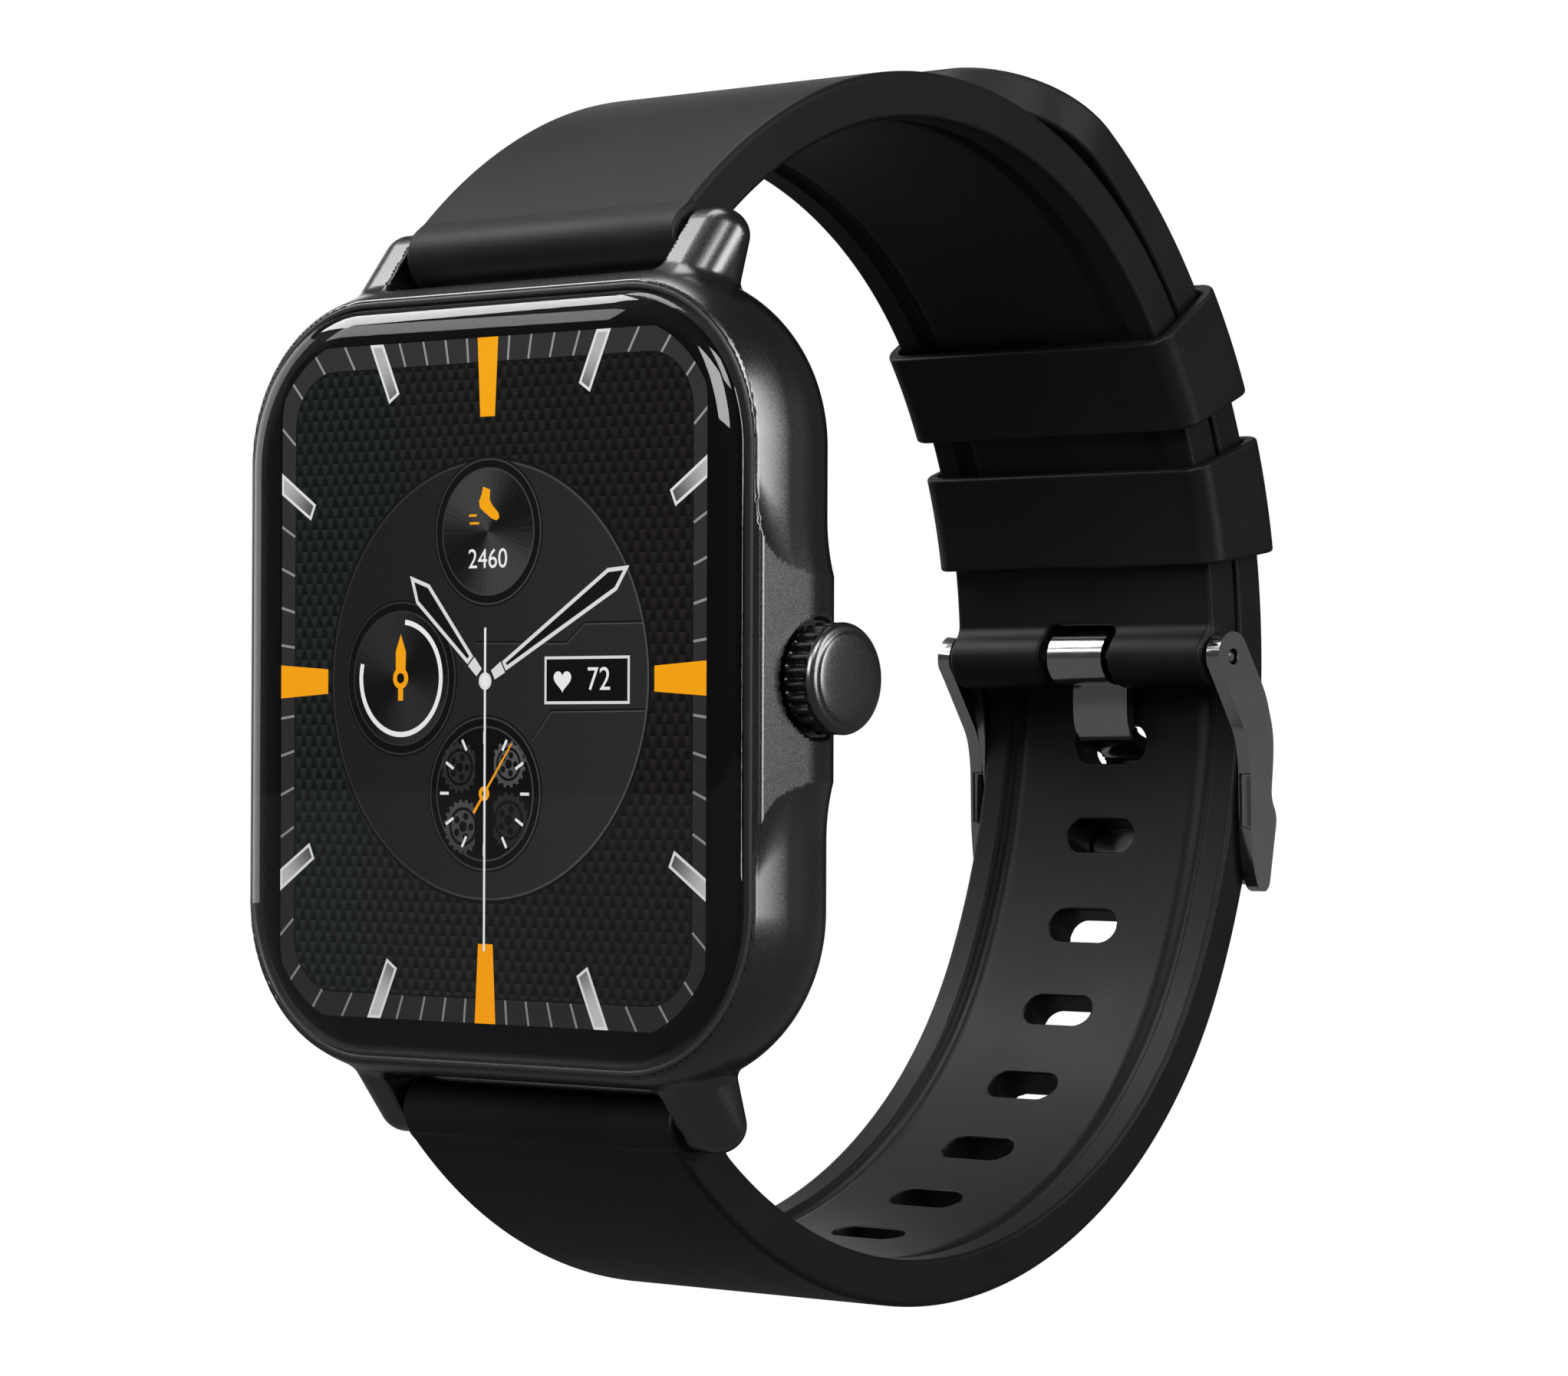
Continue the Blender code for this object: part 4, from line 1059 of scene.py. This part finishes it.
def cross_section(sides, x, along, depth, half, thick, start, end):
    """Rounded outer edges and a wrist side sunk between its borders."""
    wrist = depth - (thick - channel_depth(x, half, along, start, end))
    return both(both(sides, -depth, STRAP_OUTER_ROUND), wrist, STRAP_WRIST_ROUND)


def with_barrels(shape, x, along, depth, barrels):
    """The band with a barrel at its ends, each bored for its spring bar."""
    for centre, radius, half, fillet in barrels:
        around = np.hypot(along - centre[0], depth - centre[1])
        shape = either(shape, both(around - radius, np.abs(x) - half, BARREL_END_ROUND), fillet)
    for centre, _, _, _ in barrels:
        bore = np.hypot(along - centre[0], depth - centre[1]) - BORE_R
        shape = without(shape, bore, MOUTH_ROUND)
    return shape


def upper_field(x, along, depth):
    total = UPPER.total
    half = STRAP_HALF_BACK + (STRAP_HALF_LUG - STRAP_HALF_BACK) * smooth_step((along - 22.0) / 40.0)
    thick = INNER_THICK + 0.7 * smooth_step((along - total + 4.0) / 4.0)
    shape = cross_section(np.abs(x) - half, x, along, depth, half, thick, 8.0, total - 7.0)
    shape = np.maximum(shape, np.maximum(-along, along - total))
    tube = (-math.radians(LEAD_DEG) * OUTER_FACE_R, OUTER_FACE_R - TUBE_LOOP_R)
    lug_end = UPPER.locate(BAR_Y, BAR_Z, 1)
    shape = with_barrels(shape, x, along, depth, ((tube, TUBE_R, STRAP_HALF_BACK - 0.12, TUBE_FILLET),
                                                  (lug_end, BARREL_R, STRAP_HALF_LUG, BARREL_FILLET)))
    notch = rounded_box(x, along + 3.0, 2.8, 5.05, 0.7)
    return without(shape, notch, 0.22)


def lower_field(x, along, depth):
    total = LOWER.total
    half = TAIL_HALF + (STRAP_HALF_LUG - TAIL_HALF) * smooth_step((along - total + 40.0) / 36.0)
    thick = OUTER_THICK + 0.2 * smooth_step((along - 70) / 20) + 0.7 * smooth_step((along - total + 4) / 4)
    beside_tail, before_tail = np.abs(x) - (half - TAIL_ROUND), TAIL_ROUND - along
    tail = np.hypot(np.maximum(beside_tail, 0), np.maximum(before_tail, 0)) - TAIL_ROUND
    sides = np.where(along < TAIL_ROUND, np.maximum(tail, np.abs(x) - half), np.abs(x) - half)
    shape = cross_section(sides, x, along, depth, half, thick, 9.0, total - 7.0)
    shape = np.maximum(shape, along - total)
    lug_end = LOWER.locate(BAR_Y, -BAR_Z, -1)
    shape = with_barrels(shape, x, along, depth, ((lug_end, BARREL_R, STRAP_HALF_LUG, BARREL_FILLET),))
    row = np.clip(np.round((along - FIRST_HOLE) / HOLE_PITCH), -HOLES_UP, HOLES_DOWN - 1)
    beside = along - FIRST_HOLE - row * HOLE_PITCH
    hole = np.hypot(np.maximum(np.abs(x) - (HOLE_HALF_X - HOLE_HALF_S), 0), beside) - HOLE_HALF_S
    hole = hole - HOLE_STRETCH * (row == 0)
    return without(shape, hole, MOUTH_ROUND)


def first_hole():
    """Distance along the tail of the buckled hole, which sits at the height of the tongue's bend."""
    along = np.arange(0.0, LOWER.total, 0.05)
    y, z = LOWER.place(along, 0.0, -1)
    return float(along[(z < HOLE_Z) & (y > LOOP_Y)][0])


FIRST_HOLE = first_hole()


def make_strap(name, node, field, track, inward, axes, silicone):
    points, quads = net_of(field, axes)
    points, slope = settle(field, points, reach=0.1)
    x, along, depth = points.T

    def bend(forward, sink):
        return np.stack(track.place(along + forward, depth + sink, inward))

    bent = np.stack([x, *bend(0.0, 0.0)], 1)
    ahead = (bend(PROBE, 0.0) - bend(-PROBE, 0.0)) / (2 * PROBE)
    ahead /= (ahead ** 2).sum(0)
    down = bend(0.0, 0.5) - bend(0.0, -0.5)
    normals = np.stack([slope[:, 0], *(slope[:, 1] * ahead + slope[:, 2] * down)], 1)
    normals /= np.linalg.norm(normals, axis=1)[:, None]
    if inward < 0:
        quads = quads[:, ::-1]
    add_piece(name, bent, quads, silicone, "watch", [node], "silicone", normals)


def make_straps(silicone):
    """Both halves; the grid is fine at the borders, holes and ends and coarse where the band is plain."""
    plain = 0.8
    across = spaced((-11.0, -7.2, 0.16), (-7.2, -3.4, 0.6), (-3.4, 3.4, 0.25), (3.4, 7.2, 0.6),
                    (7.2, 11.0, 0.16))
    through = spaced((-0.5, 4.5, 0.17))
    end = UPPER.total
    along = spaced((-2.6, 7.0, 0.2), (7.0, end - 8.0, plain), (end - 8.0, end + 3.5, 0.2))
    make_strap("strap_upper_band", "strap_upper", upper_field, UPPER, 1, (across, along, through), silicone)
    end = LOWER.total
    first = FIRST_HOLE - HOLES_UP * HOLE_PITCH - 2.0
    last = FIRST_HOLE + (HOLES_DOWN - 1) * HOLE_PITCH + 2.0
    along = spaced((-0.5, 9.0, 0.3), (9.0, first, plain), (first, last, 0.24), (last, end - 8.0, plain),
                   (end - 8.0, end + 3.5, 0.2))
    make_strap("strap_lower_band", "strap_lower", lower_field, LOWER, -1, (across, along, through), silicone)


def make_keepers(silicone):
    low = INNER_R - 0.2 - KEEPER_WALL
    high = OUTER_FACE_R + LAYER_GAP + OUTER_THICK + 0.15 + KEEPER_WALL
    mid, half_r = (low + high) / 2, (high - low) / 2
    for name, (start, end) in KEEPERS.items():
        half_length = math.radians(end - start) / 2 * mid

        def field(x, along, out, half_length=half_length):
            outer = rounded_box(x, out, KEEPER_HALF_X, half_r, 1.5)
            inner = rounded_box(x, out, KEEPER_HALF_X - KEEPER_WALL, half_r - KEEPER_WALL, 0.8)
            wall = np.maximum(outer, -inner)
            return both(wall, np.abs(along) - half_length, 0.22)

        plain = half_length - 0.6
        past = half_length + 0.3
        axes = (spaced((-11.6, -9.4, 0.15), (-9.4, 9.4, 0.7), (9.4, 11.6, 0.15)),
                spaced((-past, -plain, 0.1), (-plain, plain, 0.5), (plain, past, 0.1)),
                spaced((-half_r - 0.3, half_r + 0.3, 0.13)))
        points, quads = net_of(field, axes)
        points, slope = settle(field, points, reach=0.08)
        angle = math.radians((start + end) / 2) + points[:, 1] / mid
        radius = mid + points[:, 2]
        bent = np.stack([points[:, 0], LOOP_Y + radius * np.cos(angle), LOOP_Z + radius * np.sin(angle)], 1)
        around = slope[:, 1] * mid / radius
        normals = np.stack([slope[:, 0], slope[:, 2] * np.cos(angle) - around * np.sin(angle),
                            slope[:, 2] * np.sin(angle) + around * np.cos(angle)], 1)
        normals /= np.linalg.norm(normals, axis=1)[:, None]
        add_piece(name + "_loop", bent, quads[:, ::-1], silicone, name + "_body", [name], "silicone", normals)


# ---------------------------------------------------------------- crown
def make_crown(metal):
    """Knurled knob: grooves run round-ended into the chamfer, then a slightly domed face."""
    profile = [(CROWN_IN_X, 2.7), (CROWN_IN_X + 0.02, 2.9), (CROWN_IN_X + 0.12, 3.05),
               (CROWN_IN_X + 0.3, CROWN_R)]
    profile += [(20.75 + 0.1 * i, CROWN_R) for i in range(1, 14)]
    for i in range(11):
        turn = math.radians(82 * i / 10)
        profile.append((CROWN_EDGE_X + CROWN_ROUND * math.sin(turn),
                        CROWN_R - CROWN_ROUND + CROWN_ROUND * math.cos(turn)))
    for i in range(13):
        profile.append((CROWN_FACE_X + CROWN_DOME * math.sin(math.radians(90 * i / 12)),
                        CROWN_FACE_R * math.cos(math.radians(88 * i / 12))))
    sides = CROWN_GROOVES * 16
    rings = []
    for x, radius in profile:
        end = 1 - smooth_step((x - 21.85) / 0.38)
        start = smooth_step((x - CROWN_IN_X) / 0.1)
        ring = []
        for i in range(sides):
            angle = 2 * math.pi * i / sides
            wave = 0.5 + 0.5 * math.cos(CROWN_GROOVES * angle)
            r = radius - GROOVE_DEPTH * float(end * start) * wave ** 1.4
            ring.append((x, CROWN_Y + r * math.cos(angle), r * math.sin(angle)))
        rings.append(ring)
    from_bmesh("crown_cap", loft(rings), metal, "crown", ["crown_knob"], "crown_metal", sharp=60)


# ---------------------------------------------------------------- buckle
PIN_Y, PIN_Z = loop_point(TUBE_LOOP_R, TUBE_DEG)


def round_pin(radius, start, end, count):
    """Arc round the buckle's pin, from one angle to another in degrees."""
    angles = [math.radians(start + (end - start) * i / count) for i in range(count + 1)]
    return [(PIN_Y + radius * math.cos(a), PIN_Z + radius * math.sin(a)) for a in angles]


def below_pin(points):
    """(y, z) points given outwards from the pin and down from it."""
    return [(PIN_Y + out, PIN_Z - down) for out, down in points]


def rounded_outline(points, radius, steps=5):
    """Outline with each corner replaced by a curve that starts radius before it."""
    outline = []
    count = len(points)
    for i, point in enumerate(points):
        here = Vector(point)
        before, after = Vector(points[i - 1]), Vector(points[(i + 1) % count])
        size = min(radius, (before - here).length / 2, (after - here).length / 2)
        start = here + (before - here).normalized() * size
        end = here + (after - here).normalized() * size
        for k in range(steps + 1):
            t = k / steps
            outline.append(tuple(start * (1 - t) ** 2 + here * (2 * t * (1 - t)) + end * t ** 2))
    return outline


def prism_x(outline, x_low, x_high, edge=0.0):
    """Solid from a (y, z) outline pushed along X, its rims rounded."""
    bm = loft([[(x, y, z) for y, z in outline] for x in (x_low, x_high)])
    if edge:
        rims = [e for e in bm.edges if abs(e.verts[0].co.x - e.verts[1].co.x) < 1e-6]
        bmesh.ops.bevel(bm, geom=rims, offset=edge, segments=3, profile=0.5, affect="EDGES",
                        clamp_overlap=True)
    return bm


def make_buckle(chrome):
    """Two cranked arms, their outer edge stepped at the crossbar, joined by the bar and bored for the pin."""
    head = round_pin(ARM_HEAD_R, 30, 200, 28)
    inner_edge = [(-0.75, 1.65), (1.5, 5.1), (1.85, 6.9), (1.95, 11.2), (2.2, 13.4), (2.75, 14.75)]
    outer_edge = [(3.5, 15.0), (3.95, 14.6), (4.75, 10.1), (4.1, 9.0), (4.35, 6.2), (4.3, 4.7), (3.5, 2.3)]
    body = below_pin(inner_edge + outer_edge)
    outline = head + rounded_outline([head[-1]] + body + [head[0]], 0.8)[6:-6]
    bar = [(4.25, 9.3), (4.7, 9.2), (5.0, 9.7), (4.3, 14.2), (3.75, 14.6), (3.25, 14.2)]
    crossbar = rounded_outline(below_pin(bar), 0.25)
    bow = from_bmesh("buckle_bow", prism_x(outline, ARM_IN_X, ARM_OUT_X, 0.2), chrome, "buckle",
                     ["buckle_frame"], "black_chrome", sharp=35)
    combine(bow, prism_x(outline, -ARM_OUT_X, -ARM_IN_X, 0.2), "UNION")
    combine(bow, prism_x(crossbar, -ARM_IN_X - 0.3, ARM_IN_X + 0.3), "UNION")
    bore = round_pin(PIN_BORE_R, 0, 352.5, 47)
    for side in (-1, 1):
        combine(bow, prism_x(bore, side * (ARM_IN_X - 1), side * (ARM_OUT_X + 1)), "DIFFERENCE")
    even_normals(bow)


def make_tongue(chrome):
    """Strip curled round the pin, then down the strap, through the hole and down again behind it."""
    centre = round_pin(CURL_R, 288, 0, 40)
    path = below_pin([(1.4, 0), (1.4, 1.5), (1.4, 3.4), (1.5, 4.2), (1.8, 4.85), (2.4, 5.3), (4.3, 5.86),
                      (4.85, 6.3), (5.0, 7.0), (4.85, 8.35)])
    for low, high in zip(path, path[1:]):
        for t in (0.33, 0.67, 1.0):
            centre.append((low[0] + (high[0] - low[0]) * t, low[1] + (high[1] - low[1]) * t))
    smooth = [centre[0]]
    for i in range(1, len(centre) - 1):
        smooth.append(tuple((centre[i - 1][k] + 2 * centre[i][k] + centre[i + 1][k]) / 4 for k in (0, 1)))
    smooth.append(centre[-1])
    left_side, right_side = [], []
    for i, (y, z) in enumerate(smooth):
        before, after = smooth[max(i - 1, 0)], smooth[min(i + 1, len(smooth) - 1)]
        dy, dz = after[0] - before[0], after[1] - before[1]
        size = math.hypot(dy, dz)
        ny, nz = -dz / size * TONGUE_THICK / 2, dy / size * TONGUE_THICK / 2
        left_side.append((y + ny, z + nz))
        right_side.append((y - ny, z - nz))
    outline = left_side + right_side[::-1]
    tang = from_bmesh("buckle_tang", prism_x(outline, -TONGUE_HALF_X, TONGUE_HALF_X, 0.12), chrome, "tongue",
                      ["buckle_tongue"], "black_chrome", sharp=35)
    even_normals(tang)


# ---------------------------------------------------------------- stage, lights, camera
WHITE = (1.0, 1.0, 1.0, 1.0)
FLOOR_HALF = 3.0  # metres
FLOOR_GAP = 0.0002
FLOOR_LIGHT = (0.14, 0.14, 0.14, 1.0)
ROOM_LIGHT = (0.07, 0.07, 0.072, 1.0)


def two_toned(tree, kind, to_room, to_camera):
    """Shader that lights the object with one colour and shows the camera another."""
    seen = tree.nodes.new("ShaderNodeLightPath").outputs["Is Camera Ray"]
    mixed = tree.nodes.new("ShaderNodeMixShader")
    tree.links.new(seen, mixed.inputs[0])
    for socket, color in zip(mixed.inputs[1:], (to_room, to_camera)):
        source = tree.nodes.new(kind)
        source.inputs["Color"].default_value = color
        tree.links.new(source.outputs[0], socket)
    return mixed.outputs[0]


def make_stage():
    """Plain white floor and room, which light the object only faintly."""
    quarters = ((-1, -1), (1, -1), (1, 1), (-1, 1))
    corners = [(x * FLOOR_HALF, y * FLOOR_HALF, cad_low.z - FLOOR_GAP) for x, y in quarters]
    mesh = bpy.data.meshes.new("floor")
    mesh.from_pydata(corners, [], [(0, 1, 2, 3)])
    floor = placed("floor", mesh)
    material = bpy.data.materials.new("floor")
    mesh.materials.append(material)
    world = bpy.data.worlds.new("studio")
    bpy.context.scene.world = world
    for owner, kind, ending, to_room in (
            (material, "ShaderNodeEmission", "ShaderNodeOutputMaterial", FLOOR_LIGHT),
            (world, "ShaderNodeBackground", "ShaderNodeOutputWorld", ROOM_LIGHT)):
        owner.use_nodes = True
        tree = owner.node_tree
        tree.nodes.clear()
        output = tree.nodes.new(ending)
        tree.links.new(two_toned(tree, kind, to_room, WHITE), output.inputs["Surface"])


def softbox(name, direction, distance, width, height, power):
    """Rectangular light at a direction from the case, facing it."""
    light = bpy.data.lights.new(name, "AREA")
    light.shape = "RECTANGLE"
    light.size, light.size_y = width, height
    light.energy = power
    obj = placed(name, light)
    toward = Vector(direction).normalized()
    obj.location = toward * distance
    obj.rotation_mode = "QUATERNION"
    obj.rotation_quaternion = (-toward).to_track_quat("-Z", "Y")


def make_lights():
    softbox("key_right", (0.92, 0.31, 0.24), 0.55, 0.14, 0.5, 1.9)
    softbox("top_right", (0.55, -0.4, 0.75), 0.55, 0.24, 0.2, 1.4)
    softbox("glass_top", (-0.7, -0.56, 0.453), 0.6, 0.137, 0.105, 0.14)
    softbox("glass_high", (-0.7, -0.27, 0.667), 0.6, 0.21, 0.24, 1.5)
    softbox("rim_left", (-1.0, 0.0, 0.05), 0.55, 0.36, 0.5, 0.7)
    softbox("rim_back", (-0.69, 0.66, 0.29), 0.6, 0.35, 0.15, 0.25)
    softbox("strap_top", (-0.35, 0.1, 0.93), 0.6, 0.3, 0.3, 1.1)
    softbox("fill_front", (0.2, -0.88, 0.43), 0.7, 0.34, 0.34, 3.6)
    softbox("back_right", (0.66, 0.74, 0.05), 0.8, 0.5, 0.7, 0.06)


AZIMUTH, ELEVATION, ROLL = math.radians(44.118), math.radians(-0.798), math.radians(0.248)
CAMERA_AIM = (0.0, -9.4, 0.0)
CAMERA_AWAY = 302.95
CAMERA_LENS = 121.46
CAMERA_SHIFT = (0.187, -0.005)


def make_camera():
    aim = Vector(CAMERA_AIM) * MM
    forward = Vector((-math.sin(AZIMUTH) * math.cos(ELEVATION), math.cos(AZIMUTH) * math.cos(ELEVATION),
                      -math.sin(ELEVATION)))
    level_right = Vector((math.cos(AZIMUTH), math.sin(AZIMUTH), 0))
    level_up = level_right.cross(forward)
    right = level_right * math.cos(ROLL) + level_up * math.sin(ROLL)
    up = level_up * math.cos(ROLL) - level_right * math.sin(ROLL)
    data = bpy.data.cameras.new("camera")
    data.sensor_width = 36.0
    data.lens = CAMERA_LENS
    data.shift_x, data.shift_y = CAMERA_SHIFT
    data.clip_start, data.clip_end = 0.01, 20.0
    camera = placed("camera", data)
    basis = Matrix((right, up, -forward)).transposed().to_4x4()
    camera.matrix_world = Matrix.Translation(aim - forward * CAMERA_AWAY * MM) @ basis
    bpy.context.scene.camera = camera


# ---------------------------------------------------------------- everything
def repaint(node, material):
    """Gives a carried-over CAD node a finer material."""
    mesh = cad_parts[node].data
    if not mesh.materials:
        mesh.materials.append(material)
    for i in range(len(mesh.materials)):
        mesh.materials[i] = material


def paint_inside(steel):
    """Materials of the nodes that keep their CAD shape; metal ones without a row here are steel."""
    board = moulded_plastic("circuit_board", srgb(18, 62, 40), 0.45)
    chip = moulded_plastic("chip_black", grey(30), 0.4)
    finishes = {
        "back_cover": moulded_plastic("back_plastic", grey(36), 0.36, 8.0, 0.003),
        "back_seal": moulded_plastic("seal_rubber", grey(20), 0.6),
        "battery": moulded_plastic("battery_pouch", grey(150), 0.35),
        "charge_contact": polished_metal("gold_contact", srgb(232, 196, 128), 0.2),
        "crown_seal": moulded_plastic("crown_seal", grey(22), 0.6),
        "crown_switch": chip,
        "display_panel": moulded_plastic("display_panel", grey(10), 0.3, 3.0, 0.0008),
        "display_flex": moulded_plastic("flex_film", srgb(150, 96, 40), 0.4),
        "main_board": board,
        "midframe": blasted_metal("frame_alloy", grey(150), 0.4),
        "power_chip": chip,
        "processor_chip": chip,
        "sensor_board": board,
        "sensor_led": moulded_plastic("led_green", srgb(70, 190, 110), 0.25, 3.0, 0.001),
        "sensor_photodiode": chip,
        "sensor_window": tinted_window(),
    }
    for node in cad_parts:
        matches = [finish for start, finish in finishes.items() if node.startswith(start)]
        repaint(node, matches[0] if matches else steel)


def main():
    make_stage()
    make_lights()
    make_camera()
    bpy.context.scene.view_settings.view_transform = "Standard"

    case_metal = blasted_metal("case_metal", grey(98), 0.26)
    crown_metal = blasted_metal("crown_metal", grey(104), 0.27, 13.0)
    chrome = polished_metal("black_chrome", grey(190), 0.13)
    steel = polished_metal("steel", grey(175), 0.25)
    silicone = silicone_rubber()
    ring_plastic = moulded_plastic("bezel_plastic", grey(40), 0.45)
    black = moulded_plastic("glass_print", grey(2), 0.6, 3.0, 0.0005)
    black.node_tree.nodes["Principled BSDF"].inputs["Specular IOR Level"].default_value = 0.03

    make_case(case_metal)
    make_ring(ring_plastic)
    make_glass(clear_glass(), black)
    make_dial()
    make_straps(silicone)
    make_keepers(silicone)
    make_crown(crown_metal)
    make_buckle(chrome)
    make_tongue(chrome)

    paint_inside(steel)


main()
